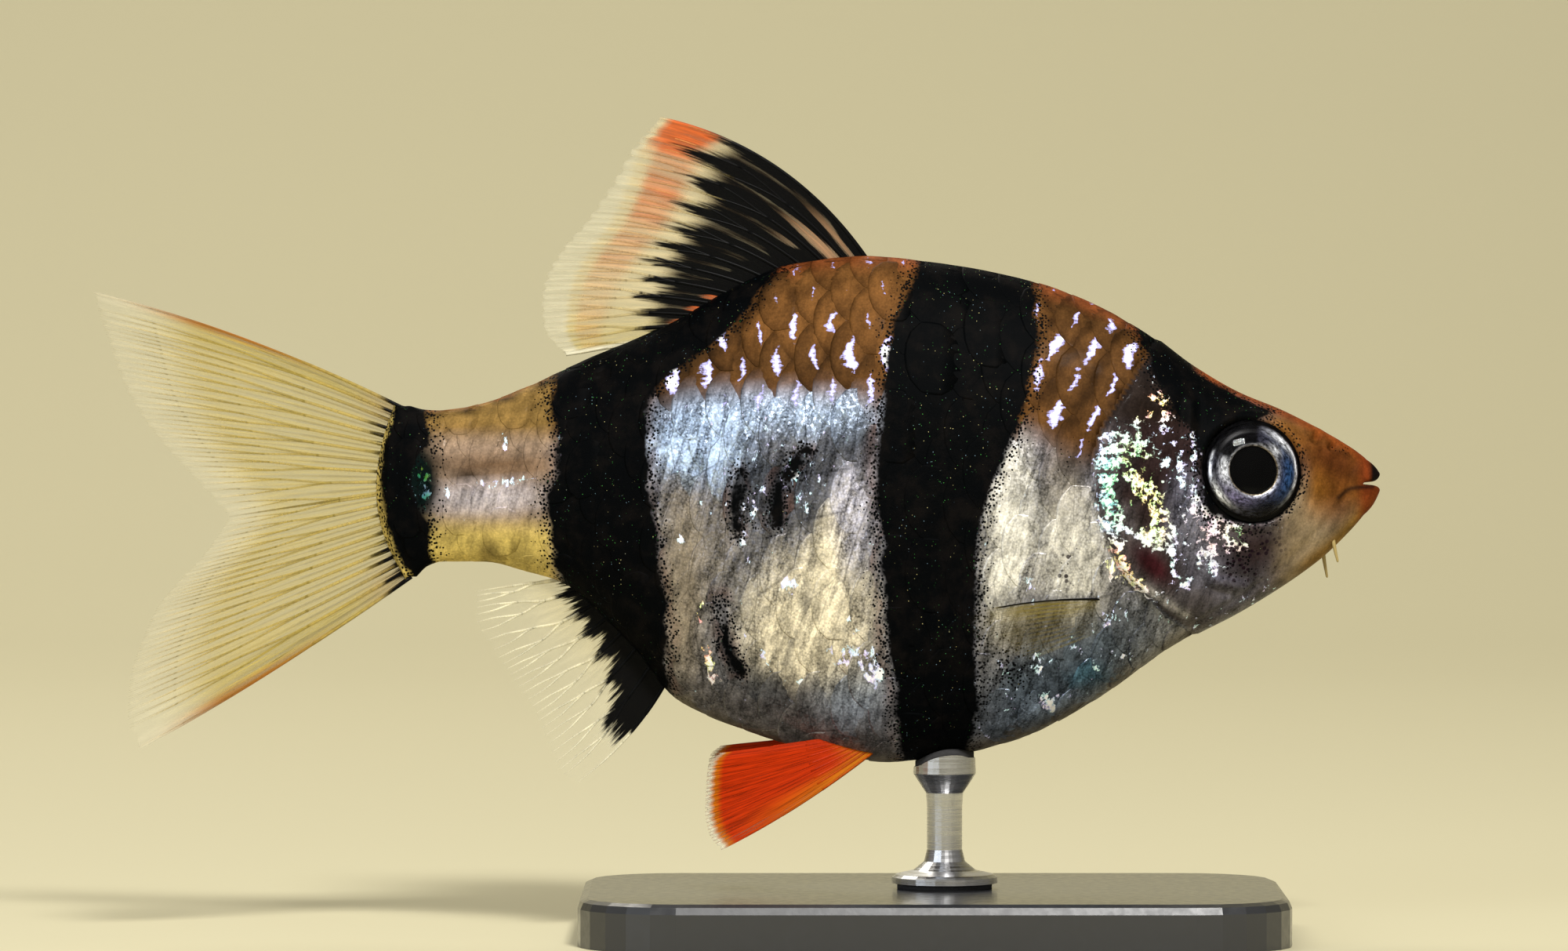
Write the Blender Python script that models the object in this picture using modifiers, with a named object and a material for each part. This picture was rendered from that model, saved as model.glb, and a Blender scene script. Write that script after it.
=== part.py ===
"""Tiger barb at life size, held still on a rod and a flat base.

The fish swims toward +X, its back is +Z, and the side toward -Y is its right side.
The lengths below are millimetres, and every mesh is scaled to metres at the end.
The origin is on the floor, under the middle of the whole model.
"""
import math

import bmesh
import bpy
import numpy as np
from mathutils import Matrix, Vector

MM = 0.001
OBJECT = "tiger_barb"
GAP = 0.3                   # clearance between neighbouring solids

# The flesh: outlines as (x, z), half widths as (x, y), from the tail to the snout.
BACK = ((-17.9, 27.4), (-15.3, 26.93), (-13.0, 27.3), (-10.6, 28.2), (-7.7, 29.55), (-3.6, 31.3),
        (0.4, 33.5), (2.4, 34.3), (6.6, 34.8), (10.4, 34.45), (14.4, 33.7), (18.1, 32.4),
        (21.0, 30.8), (23.3, 29.1), (25.6, 27.76), (27.9, 26.8), (31.3, 24.95), (32.4, 24.12))
BELLY = ((-17.9, 17.9), (-16.6, 18.35), (-15.0, 19.0), (-13.0, 19.0), (-10.6, 18.45),
         (-9.2, 18.05), (-5.6, 14.9), (-3.1, 12.0), (0.7, 10.3), (4.8, 9.16), (7.8, 8.78),
         (10.5, 9.04), (14.4, 9.96), (18.4, 12.0), (22.4, 14.8), (25.9, 16.65), (29.6, 19.1),
         (31.3, 20.7), (32.4, 22.0))
WIDTH = ((-17.9, 0.75), (-17.0, 1.2), (-15.3, 1.5), (-9.3, 2.35), (-3.6, 3.7), (2.0, 4.6),
         (7.5, 4.9), (14.4, 4.75), (18.1, 4.4), (21.0, 3.95), (23.3, 3.5), (26.2, 2.95),
         (27.9, 2.5), (29.8, 1.95), (31.3, 1.45), (32.4, 1.15))
MIDLINE = ((-17.9, 22.7), (-9.3, 23.0), (2.0, 21.6), (8.0, 21.2), (14.4, 21.6), (18.1, 22.3),
           (23.3, 23.0), (27.9, 22.9), (32.4, 23.1))
BACK_FULLNESS = ((-17.9, 1.9), (14.0, 1.9), (24.0, 2.3), (32.4, 2.1))
BELLY_FULLNESS = 2.15
AROUND = 36                 # points round one ring of the flesh
TAIL_END, SNOUT_END = -17.9, 32.0
RING_STEP = 1.3

# The mouth: rings as (set back from the tip, half width, height above, height below).
TIP_X, MOUTH_Z = 32.8, 23.1
MOUTH_RINGS = ((0.35, 1.08, 0.96, 1.1), (0.10, 0.98, 0.66, 0.62), (0.0, 0.88, 0.46, 0.34),
               (0.12, 0.80, 0.22, 0.17), (0.42, 0.72, 0.09, 0.09), (0.95, 0.5, 0.09, 0.09))
THROAT = 1.2
CORNER_SETBACK = 0.9        # how far the corners of the mouth lie behind the lips
SETBACK_FADE = 3.2          # length of cheek over which that setback dies out

# The gill opening as (z, x), and the front edge of the gill cover as (z, x).
GILL_EDGE = ((8.0, 30.0), (14.6, 24.6), (16.9, 21.4), (19.3, 19.2), (22.0, 18.2), (23.6, 18.05),
             (25.0, 18.2), (28.6, 20.2), (31.5, 22.6), (38.0, 28.0))
COVER_FRONT = ((15.5, 23.3), (17.4, 23.6), (19.4, 23.0), (22.0, 22.3), (24.4, 21.9),
               (26.6, 21.5), (27.6, 20.7))
COVER_LOW, COVER_HIGH = 16.2, 27.1
COVER_PROUD, COVER_SUNK = 0.25, 0.35
TAIL_CUT = -9.9             # plane between the trunk and the tail peduncle

EYE_X, EYE_Y, EYE_Z = 26.2, 2.78, 23.84
EYE_FORWARD, EYE_UP = 0.21, 0.15        # how far the gaze leans forward and up, in radians
EYE_PROFILE = ((0.0, 0.55), (0.9, 0.47), (1.6, 0.27), (2.1, 0.0), (2.36, -0.3), (2.4, -0.65),
               (2.1, -1.05), (1.3, -1.35), (0.0, -1.5))
EYE_RIM = 2.4
TURNED_STEPS = 32

NOSTRILS = ((30.35, 1.45, 24.95, 0.3), (29.45, 1.75, 25.35, 0.34))     # x, y, z, radius
# The barbels hang from behind the corners of the mouth: points along one, for the right side.
BARBEL = ((31.0, -1.0, 21.9), (30.6, -1.65, 20.9), (30.25, -1.75, 19.6), (30.06, -1.7, 18.25))
BARBEL_ROOT, BARBEL_TIP = 0.27, 0.13

# Fins: roots and margins run from the leading ray (0) to the last ray (1), as (0..1, x, z).
DORSAL_ROOT = ((0, 7.05, 34.0), (0.5, 1.7, 33.1), (1, -3.3, 30.6))
DORSAL_MARGIN = ((0, -3.88, 41.8), (0.12, -5.24, 40.32), (0.25, -6.4, 38.36), (0.4, -7.76, 36.4),
                 (0.52, -8.92, 35.04), (0.65, -9.72, 33.64), (0.75, -9.96, 32.6),
                 (0.87, -9.72, 31.4), (1, -8.4, 30.35))
DORSAL_BOW = (0.78, 1.17)
ANAL_ROOT = ((0, -3.15, 13.8), (0.5, -5.9, 16.2), (1, -8.6, 18.3))
ANAL_MARGIN = ((0, -8.08, 7.8), (0.12, -9.0, 8.4), (0.25, -9.68, 10.0), (0.4, -10.4, 11.6),
               (0.55, -11.4, 13.0), (0.7, -12.2, 14.28), (0.85, -13.32, 16.2), (1, -13.3, 17.6))
ANAL_BOW = (0.38, -0.33)
UPPER_TAIL_ROOT = ((0, -16.7, 26.5), (0.5, -17.3, 24.8), (1, -17.3, 22.9))
UPPER_TAIL_MARGIN = ((0, -32.8, 32.9), (0.1, -32.48, 31.6), (0.25, -32.0, 30.2),
                     (0.4, -31.4, 28.4), (0.55, -30.4, 26.6), (0.7, -29.28, 25.12),
                     (0.85, -27.8, 23.5), (1, -25.88, 21.6))
UPPER_TAIL_BOW = (0.17, 0.47)
LOWER_TAIL_ROOT = ((0, -16.7, 18.9), (0.5, -17.3, 20.6), (1, -17.3, 22.55))
LOWER_TAIL_MARGIN = ((0, -30.5, 9.5), (0.1, -31.1, 11.2), (0.25, -30.96, 13.2),
                     (0.4, -30.4, 15.0), (0.55, -29.6, 16.76), (0.7, -28.6, 18.0),
                     (0.85, -27.1, 19.6), (1, -25.95, 21.2))
LOWER_TAIL_BOW = (-0.2, -0.45)
PELVIC_ROOT = ((0, 7.5, 9.9), (1, 6.1, 10.3))
PELVIC_MARGIN = ((0, -0.76, 4.64), (0.2, -1.4, 5.48), (0.4, -1.6, 6.6), (0.6, -1.56, 7.88),
                 (0.8, -1.4, 9.0), (1, -0.88, 9.5))
PELVIC_BOW = (-0.1, -0.4)
PELVIC_LEAN = (1.2, 0.0, 0.30)          # root's y, quick step out at the skin, splay per length
PECTORAL_ROOT = ((0, 19.0, 17.3), (1, 18.7, 15.8))
PECTORAL_MARGIN = ((0, 9.92, 16.2), (0.3, 9.84, 15.5), (0.55, 10.3, 14.8), (0.8, 11.6, 14.2),
                   (1, 13.6, 13.9))
PECTORAL_BOW = (0.05, 0.45)
PECTORAL_LEAN = (2.9, 1.25, 0.26)
LEAN_LENGTH = 0.8           # length over which a paired fin steps out of the skin

FIN_ROWS = (0.0, 0.07, 0.15, 0.28, 0.45, 0.62, 0.78, 0.92, 1.0)
FIN_HALF_ROOT, FIN_HALF_OUT, FIN_TIP_SHARE = 0.29, 0.24, 0.55
RAY_RIDGE = 0.15            # height of a ray above the membrane, on each face
SCALLOP = 0.025             # how far the membrane stays behind the ray tips, by ray length
FORKED_ROOT, FORKED_TIP = (0.6, 1.0, 0.6, 0.0), (1.0, 0.35, 1.0, 0.0)
SINGLE_RAY = (1.0, 0.0)

# The stand: a rounded slab, and a turned rod up to the belly.
BASE_X, BASE_LENGTH, BASE_WIDTH, BASE_HEIGHT = 10.0, 36.0, 24.0, 2.4
BASE_CORNER, BASE_EDGE = 5.0, 0.5
ROD_X = 10.6
ROD_PROFILE = ((0.0, 10.6), (1.5, 10.6), (1.6, 8.3), (1.35, 7.9), (0.95, 7.3), (0.9, 6.6),
               (0.9, 4.4), (1.05, 3.8), (1.6, 3.35), (2.5, 3.15), (2.7, 3.0), (2.7, 2.7),
               (0.0, 2.7))

# Materials as linear colour, roughness and metallic.
LOOKS = {
    "head": ((0.55, 0.26, 0.08), 0.35, 0.1),
    "gill_cover": ((0.50, 0.42, 0.22), 0.3, 0.3),
    "eye": ((0.45, 0.50, 0.55), 0.15, 0.4),
    "torso": ((0.50, 0.52, 0.52), 0.3, 0.2),
    "tail_peduncle": ((0.60, 0.47, 0.30), 0.35, 0.1),
    "dorsal_fin": ((0.30, 0.05, 0.02), 0.45, 0.0),
    "anal_fin": ((0.35, 0.30, 0.18), 0.45, 0.0),
    "caudal_fin": ((0.75, 0.45, 0.12), 0.45, 0.0),
    "pectoral_fin": ((0.60, 0.58, 0.42), 0.45, 0.0),
    "pelvic_fin": ((0.55, 0.10, 0.03), 0.45, 0.0),
    "stand_base": ((0.03, 0.03, 0.032), 0.4, 0.0),
    "stand_rod": ((0.55, 0.55, 0.56), 0.3, 1.0),
}


def smooth(table, at):
    """Read a table between its rows, with no overshoot."""
    place, value = np.array(sorted(table), float).T
    step = np.diff(place)
    rise = np.diff(value) / step
    slope = np.zeros(len(place))
    slope[0], slope[-1] = rise[0], rise[-1]
    product, total = rise[:-1] * rise[1:], rise[:-1] + rise[1:]
    same = product > 0
    slope[1:-1][same] = 2.0 * product[same] / total[same]
    at = np.clip(at, place[0], place[-1])
    i = np.clip(np.searchsorted(place, at) - 1, 0, len(place) - 2)
    t = (at - place[i]) / step[i]
    level = value[i] * (1 + 2 * t) * (1 - t) ** 2 + value[i + 1] * t * t * (3 - 2 * t)
    return level + step[i] * (slope[i] * t * (1 - t) ** 2 - slope[i + 1] * t * t * (1 - t))


def curve(table, t):
    """Points (x, z) along a table of (t, x, z)."""
    return np.stack([smooth([(row[0], row[k]) for row in table], t) for k in (1, 2)], axis=-1)


def ease(t):
    """A step from 0 to 1 with flat ends."""
    t = np.clip(t, 0.0, 1.0)
    return t * t * (3 - 2 * t)


def mesh_object(name, points, faces):
    mesh = bpy.data.meshes.new(name)
    mesh.from_pydata([tuple(map(float, p)) for p in points], [], faces)
    mesh.validate()
    made = bpy.data.objects.new(name, mesh)
    bpy.context.scene.collection.objects.link(made)
    face_outward(made)
    return made


def face_outward(made):
    form = bmesh.new()
    form.from_mesh(made.data)
    bmesh.ops.recalc_face_normals(form, faces=form.faces)
    form.to_mesh(made.data)
    form.free()


def settle(made):
    """Turn an object with modifiers, or a curve, into a plain closed mesh at the origin."""
    view = bpy.context.evaluated_depsgraph_get()
    mesh = bpy.data.meshes.new_from_object(made.evaluated_get(view))
    mesh.transform(made.matrix_world)
    form = bmesh.new()
    form.from_mesh(mesh)
    bmesh.ops.remove_doubles(form, verts=form.verts, dist=0.0001)
    bmesh.ops.recalc_face_normals(form, faces=form.faces)
    form.to_mesh(mesh)
    form.free()
    name = made.name
    bpy.data.objects.remove(made)
    fresh = bpy.data.objects.new(name, mesh)
    bpy.context.scene.collection.objects.link(fresh)
    return fresh


def combine(target, tool, operation):
    """Cut, join or limit the target by the tool, which is used up."""
    change = target.modifiers.new("change", "BOOLEAN")
    change.operation, change.solver, change.object = operation, "EXACT", tool
    bpy.context.view_layer.update()
    view = bpy.context.evaluated_depsgraph_get()
    mesh = bpy.data.meshes.new_from_object(target.evaluated_get(view))
    target.modifiers.clear()
    target.data = mesh
    bpy.data.objects.remove(tool)
    return target


def keep_largest(made):
    """Keep only the closed surface with the largest area."""
    form = bmesh.new()
    form.from_mesh(made.data)
    left, shells = set(form.verts), []
    while left:
        shell, edge = set(), [left.pop()]
        while edge:
            vert = edge.pop()
            shell.add(vert)
            for link in vert.link_edges:
                other = link.other_vert(vert)
                if other in left:
                    left.remove(other)
                    edge.append(other)
        shells.append(shell)
    shells.sort(key=lambda s: sum(f.calc_area() for f in {f for v in s for f in v.link_faces}))
    for shell in shells[:-1]:
        bmesh.ops.delete(form, geom=list(shell), context="VERTS")
    form.to_mesh(made.data)
    form.free()
    return made


def section(x, turn, grow):
    """One ring of flesh at x: a superellipse between the back, the belly and the flanks."""
    side, up = np.cos(turn), np.sin(turn)
    mid = smooth(MIDLINE, x)
    high = np.where(up > 0, smooth(BACK, x) - mid, mid - smooth(BELLY, x)) + grow
    power = 2.0 / np.where(up > 0, smooth(BACK_FULLNESS, x), BELLY_FULLNESS)
    y = (smooth(WIDTH, x) + grow) * np.sign(side) * np.abs(side) ** power
    z = mid + high * np.sign(up) * np.abs(up) ** power
    back = CORNER_SETBACK * ease(1 - (SNOUT_END - x) / SETBACK_FADE)
    return np.stack([x - back * (1 - np.abs(up) ** 1.5), y, z], axis=-1)


def mouth_ring(row, turn):
    """One ring of the lips or of the mouth inside them."""
    setback, half, above, below = row
    side, up = np.cos(turn), np.sin(turn)
    x = TIP_X - setback - CORNER_SETBACK * (1 - np.abs(up) ** 1.5)
    z = MOUTH_Z + np.where(up > 0, above, below) * up
    return np.stack([x, half * side, z], axis=-1)


def flesh_body(grow=0.0, mouth=False):
    """The whole body as one closed loft, grown outward all round by a chosen depth."""
    turn = np.linspace(0.0, 2 * math.pi, AROUND, endpoint=False)
    count = int((SNOUT_END - TAIL_END - 0.5) / RING_STEP)
    places = np.concatenate([[TAIL_END], np.linspace(TAIL_END + 0.5, SNOUT_END, count)])
    rings = [section(x, turn, grow) for x in places]
    rings[0][:, 0] -= grow
    tip = [TIP_X + grow, 0.0, MOUTH_Z]
    if mouth:
        rings += [mouth_ring(row, turn) for row in MOUTH_RINGS]
        tip = [TIP_X - THROAT, 0.0, MOUTH_Z]
    points = np.concatenate(rings)
    points = np.vstack([points, [[rings[0][0, 0], 0.0, smooth(MIDLINE, TAIL_END)], tip]])
    start, end = len(points) - 2, len(points) - 1
    faces = []
    for r in range(len(rings) - 1):
        for k in range(AROUND):
            n = (k + 1) % AROUND
            faces.append((r * AROUND + k, r * AROUND + n, (r + 1) * AROUND + n,
                          (r + 1) * AROUND + k))
    last = (len(rings) - 1) * AROUND
    for k in range(AROUND):
        n = (k + 1) % AROUND
        faces += [(n, k, start), (last + k, last + n, end)]
    return mesh_object("flesh", points, faces)


def prism(outline, near, far):
    """A flat outline of (x, z) points drawn through from y = near to y = far."""
    flat = bpy.data.curves.new("prism", "CURVE")
    flat.dimensions, flat.fill_mode, flat.extrude = "2D", "BOTH", abs(far - near) / 2
    line = flat.splines.new("POLY")
    line.points.add(len(outline) - 1)
    for point, (x, z) in zip(line.points, outline):
        point.co = (x, z, 0.0, 1.0)
    line.use_cyclic_u = True
    made = bpy.data.objects.new("prism", flat)
    bpy.context.scene.collection.objects.link(made)
    made.matrix_world = (Matrix.Translation((0.0, (near + far) / 2, 0.0))
                         @ Matrix.Rotation(math.pi / 2, 4, "X"))
    bpy.context.view_layer.update()
    return settle(made)


def turned(name, profile):
    """A profile of (radius, height), given top to bottom, turned about the Z axis."""
    mesh = bpy.data.meshes.new(name)
    links = [(k, k + 1) for k in range(len(profile) - 1)]
    mesh.from_pydata([(radius, 0.0, height) for radius, height in profile], links, [])
    made = bpy.data.objects.new(name, mesh)
    bpy.context.scene.collection.objects.link(made)
    screw = made.modifiers.new("turn", "SCREW")
    screw.steps = screw.render_steps = TURNED_STEPS
    screw.use_merge_vertices, screw.merge_threshold = True, 0.0001
    bpy.context.view_layer.update()
    return settle(made)


def tube(name, points, radii):
    """A round tapering thread through a few points."""
    path = bpy.data.curves.new(name, "CURVE")
    path.dimensions, path.bevel_depth, path.bevel_resolution = "3D", 1.0, 1
    path.use_fill_caps, path.resolution_u = True, 4
    line = path.splines.new("NURBS")
    line.points.add(len(points) - 1)
    for point, place, radius in zip(line.points, points, radii):
        point.co, point.radius = (*place, 1.0), radius
    line.use_endpoint_u, line.order_u = True, 3
    made = bpy.data.objects.new(name, path)
    bpy.context.scene.collection.objects.link(made)
    bpy.context.view_layer.update()
    return settle(made)


def front_side(margin_gap):
    """Everything in front of the gill opening, as an outline of (x, z)."""
    edge = [(float(smooth(GILL_EDGE, z)) + margin_gap, z) for z in np.linspace(8.0, 38.0, 41)]
    return edge + [(40.0, 38.0), (40.0, 8.0)]


def rear_side(margin_gap):
    """The trunk behind the gill opening and in front of the tail cut, as (x, z)."""
    edge = [(float(smooth(GILL_EDGE, z)) - margin_gap, z) for z in np.linspace(8.0, 38.0, 41)]
    return edge + [(TAIL_CUT + GAP / 2, 38.0), (TAIL_CUT + GAP / 2, 8.0)]


def cover_outline(wider, overhang):
    """The gill cover seen from the side, made wider all round, and longer at the rear."""
    rows = np.linspace(COVER_LOW - wider, COVER_HIGH + wider, 12)
    front = [(float(smooth(COVER_FRONT, z)) + wider, z) for z in rows]
    rear = [(float(smooth(GILL_EDGE, z)) + GAP / 2 - overhang, z) for z in rows[::-1]]
    return front + rear


def one_side(side, reach=9.0):
    """Where a prism on one flank starts and ends in y."""
    return sorted((0.2 * side, reach * side))


def gill_cover(name, side):
    plate = combine(flesh_body(COVER_PROUD), prism(cover_outline(0, 0), *one_side(side)), "INTERSECT")
    plate = combine(plate, flesh_body(-COVER_SUNK), "DIFFERENCE")
    plate.name = name
    return keep_largest(plate)


def gaze(side):
    """Moves a turned form from the Z axis to its place in one eye socket."""
    forward, up = math.sin(EYE_FORWARD), math.sin(EYE_UP)
    axis = Vector((forward, side * math.sqrt(1 - forward ** 2 - up ** 2), up))
    turn = Vector((0, 0, 1)).rotation_difference(axis).to_matrix().to_4x4()
    return Matrix.Translation((EYE_X, side * EYE_Y, EYE_Z)) @ turn


def eye(name, side):
    ball = turned(name, EYE_PROFILE)
    ball.data.transform(gaze(side))
    return ball


def socket(side):
    """The space for one eye, wider than it by the gap."""
    inner = [(radius + GAP * (radius > 0), height - GAP) for radius, height in EYE_PROFILE[5:]]
    rim = EYE_RIM + GAP
    hole = turned("socket", [(0.0, 4.0), (rim, 4.0)] + inner)
    hole.data.transform(gaze(side))
    return hole


def nostril(x, y, z, radius):
    pit = bpy.data.meshes.new("nostril")
    form = bmesh.new()
    bmesh.ops.create_uvsphere(form, u_segments=12, v_segments=8, radius=radius,
                              matrix=Matrix.Translation((x, y, z)))
    form.to_mesh(pit)
    form.free()
    made = bpy.data.objects.new("nostril", pit)
    bpy.context.scene.collection.objects.link(made)
    return made


def barbel(side):
    points = [(x, -side * y, z) for x, y, z in BARBEL]
    radii = np.linspace(BARBEL_ROOT, BARBEL_TIP, len(points))
    return tube("barbel", points, radii)


def head():
    made = combine(flesh_body(mouth=True), prism(front_side(GAP / 2), -9, 9), "INTERSECT")
    for side in (-1, 1):
        made = combine(made, barbel(side), "UNION")
        recess = combine(prism(cover_outline(GAP, 1.0), *one_side(side)),
                         flesh_body(-COVER_SUNK - GAP), "DIFFERENCE")
        made = combine(made, recess, "DIFFERENCE")
        made = combine(made, socket(side), "DIFFERENCE")
        for x, y, z, radius in NOSTRILS:
            made = combine(made, nostril(x, side * y, z, radius), "DIFFERENCE")
    made.name = "head"
    return keep_largest(made)


def trunk(name, outline):
    made = combine(flesh_body(), prism(outline, -9, 9), "INTERSECT")
    made.name = name
    return keep_largest(made)


def ray_rows(pattern, columns):
    """The share of the ridge's height at each column of the fin."""
    return np.array([pattern[j % len(pattern)] for j in range(columns)])


def fin(name, root, margin, bow, rays, patterns, lean=(0.0, 0.0, 0.0), side=1):
    """A fin as a thin sheet with a ridge for each ray on both faces, cut clear of the flesh."""
    at_root, at_tip = patterns
    columns = len(at_root) * rays - 1
    t, s = np.linspace(0, 1, columns), np.array(FIN_ROWS)
    webbed = ray_rows(at_root, columns) == 0
    along = s[:, None] * (1 - SCALLOP * webbed[None, :] * s[:, None] ** 4)
    base, edge = curve(root, t), curve(margin, t)
    reach = edge - base
    arch = 4 * along * (1 - along) * (1 - t)[None, :] ** 1.2
    flat = base + reach * along[..., None] + arch[..., None] * np.array(bow)
    away = along * np.linalg.norm(reach, axis=1)
    y = lean[0] + lean[1] * (1 - np.exp(-away / LEAN_LENGTH)) + lean[2] * away
    middle = np.stack([flat[..., 0], side * y, flat[..., 1]], axis=-1)
    fork = ease((along - 0.4) / 0.35)
    ridge = (1 - fork) * ray_rows(at_root, columns) + fork * ray_rows(at_tip, columns)
    half = FIN_HALF_ROOT + (FIN_HALF_OUT - FIN_HALF_ROOT) * along + RAY_RIDGE * ridge
    half = half * (1 - (1 - FIN_TIP_SHARE) * ease((along - 0.8) / 0.2))
    made = sheet(name, middle, half)
    made = combine(made, flesh_body(GAP), "DIFFERENCE")
    return keep_largest(made)


def sheet(name, middle, half):
    """A closed solid about a curved grid of points, split alike on both of its faces."""
    rows, columns = half.shape
    normal = np.cross(np.gradient(middle, axis=0), np.gradient(middle, axis=1))
    normal /= np.linalg.norm(normal, axis=-1, keepdims=True)
    points = np.concatenate([(middle + normal * half[..., None]).reshape(-1, 3),
                             (middle - normal * half[..., None]).reshape(-1, 3)])
    under = rows * columns
    faces = []
    for i in range(rows - 1):
        for j in range(columns - 1):
            a, b = i * columns + j, i * columns + j + 1
            c, d = a + columns, b + columns
            faces += [(a, b, d), (a, d, c), (under + a, under + d, under + b),
                      (under + a, under + c, under + d)]
    rim = [j for j in range(columns - 1)]
    rim += [i * columns + columns - 1 for i in range(rows - 1)]
    rim += [(rows - 1) * columns + j for j in range(columns - 1, 0, -1)]
    rim += [i * columns for i in range(rows - 1, 0, -1)]
    for a, b in zip(rim, rim[1:] + rim[:1]):
        faces += [(a, under + a, under + b), (a, under + b, b)]
    return mesh_object(name, points, faces)


def stand_base():
    mesh = bpy.data.meshes.new("stand_base")
    form = bmesh.new()
    size = Matrix.Diagonal((BASE_LENGTH, BASE_WIDTH, BASE_HEIGHT, 1.0))
    bmesh.ops.create_cube(form, size=1.0,
                          matrix=Matrix.Translation((BASE_X, 0, BASE_HEIGHT / 2)) @ size)
    upright = [e for e in form.edges if abs(e.verts[0].co.z - e.verts[1].co.z) > 1.0]
    bmesh.ops.bevel(form, geom=upright, offset=BASE_CORNER, segments=6, profile=0.5,
                    affect="EDGES")
    top = [e for e in form.edges if min(v.co.z for v in e.verts) > BASE_HEIGHT - 0.01]
    bmesh.ops.bevel(form, geom=top, offset=BASE_EDGE, segments=2, profile=0.5, affect="EDGES")
    form.to_mesh(mesh)
    form.free()
    made = bpy.data.objects.new("stand_base", mesh)
    bpy.context.scene.collection.objects.link(made)
    return made


def stand_rod():
    rod = turned("stand_rod", ROD_PROFILE)
    rod.data.transform(Matrix.Translation((ROD_X, 0, 0)))
    return keep_largest(combine(rod, flesh_body(GAP), "DIFFERENCE"))


def material(name):
    look = bpy.data.materials.get(name)
    if look is None:
        look = bpy.data.materials.new(name)
        look.use_nodes = True
        colour, rough, metallic = LOOKS[name]
        shader = look.node_tree.nodes["Principled BSDF"]
        shader.inputs["Base Color"].default_value = (*colour, 1.0)
        shader.inputs["Roughness"].default_value = rough
        shader.inputs["Metallic"].default_value = metallic
    return look


def finish(made, look, collection):
    """Scale a piece to metres, colour it, and put it with the others."""
    made.data.transform(Matrix.Scale(MM, 4))
    made.data.materials.clear()
    made.data.materials.append(material(look))
    made.data.shade_smooth()
    made.data.set_sharp_from_angle(angle=math.radians(40))
    for holder in list(made.users_collection):
        holder.objects.unlink(made)
    collection.objects.link(made)


def build():
    for old in list(bpy.data.objects):
        bpy.data.objects.remove(old)
    forked, single = (FORKED_ROOT, FORKED_TIP), (SINGLE_RAY, SINGLE_RAY)
    pieces = [
        (head(), "head"),
        (trunk("torso", rear_side(GAP / 2)), "torso"),
        (trunk("tail_peduncle", [(TAIL_CUT - GAP / 2, 38), (TAIL_CUT - GAP / 2, 8), (-25, 8),
                                 (-25, 38)]), "tail_peduncle"),
        (fin("dorsal_fin", DORSAL_ROOT, DORSAL_MARGIN, DORSAL_BOW, 12, forked), "dorsal_fin"),
        (fin("anal_fin", ANAL_ROOT, ANAL_MARGIN, ANAL_BOW, 8, forked), "anal_fin"),
        (fin("caudal_fin_upper", UPPER_TAIL_ROOT, UPPER_TAIL_MARGIN, UPPER_TAIL_BOW, 10, forked),
         "caudal_fin"),
        (fin("caudal_fin_lower", LOWER_TAIL_ROOT, LOWER_TAIL_MARGIN, LOWER_TAIL_BOW, 9, forked),
         "caudal_fin"),
        (stand_base(), "stand_base"),
        (stand_rod(), "stand_rod"),
    ]
    for word, side in (("left", 1), ("right", -1)):
        pieces += [
            (gill_cover("gill_cover_" + word, side), "gill_cover"),
            (eye("eye_" + word, side), "eye"),
            (fin("pectoral_fin_" + word, PECTORAL_ROOT, PECTORAL_MARGIN, PECTORAL_BOW, 10,
                 single, PECTORAL_LEAN, side), "pectoral_fin"),
            (fin("pelvic_fin_" + word, PELVIC_ROOT, PELVIC_MARGIN, PELVIC_BOW, 8, single,
                 PELVIC_LEAN, side), "pelvic_fin"),
        ]
    collection = bpy.data.collections.new(OBJECT)
    bpy.context.scene.collection.children.link(collection)
    for made, look in pieces:
        finish(made, look, collection)


build()
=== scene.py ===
# %% [markdown]
# # A tiger barb on a small display stand
#
# A tiger barb is a deep, flat-sided little fish, silver with an orange back, four black bands,
# and fins that run from clear yellow to red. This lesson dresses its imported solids.
# The solids come first, so that every piece made here sits where they sit.

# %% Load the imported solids
import math

import bpy
import numpy as np
from mathutils import Matrix, Vector


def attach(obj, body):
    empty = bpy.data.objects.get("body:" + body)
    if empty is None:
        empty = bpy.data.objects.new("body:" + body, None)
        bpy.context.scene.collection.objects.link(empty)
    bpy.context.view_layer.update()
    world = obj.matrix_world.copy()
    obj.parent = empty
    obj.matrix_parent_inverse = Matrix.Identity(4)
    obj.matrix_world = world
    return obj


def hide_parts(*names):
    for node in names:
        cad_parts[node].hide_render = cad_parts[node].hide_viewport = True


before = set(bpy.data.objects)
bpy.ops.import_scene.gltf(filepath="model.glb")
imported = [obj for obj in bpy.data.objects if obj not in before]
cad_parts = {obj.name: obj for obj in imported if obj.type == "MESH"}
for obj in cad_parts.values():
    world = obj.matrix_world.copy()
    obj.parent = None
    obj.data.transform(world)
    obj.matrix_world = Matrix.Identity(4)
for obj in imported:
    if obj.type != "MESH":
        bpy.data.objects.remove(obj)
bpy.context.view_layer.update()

MM = 0.001

# %% [markdown]
# ## The shape of the flesh
#
# A fish's body is a row of rings: each one has a back, a belly, two flanks and a height where
# it is widest. It could be sculpted, but a handful of measured outlines, read smoothly, keep
# the true profile and give the place of any point on the fish by formula.

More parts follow.
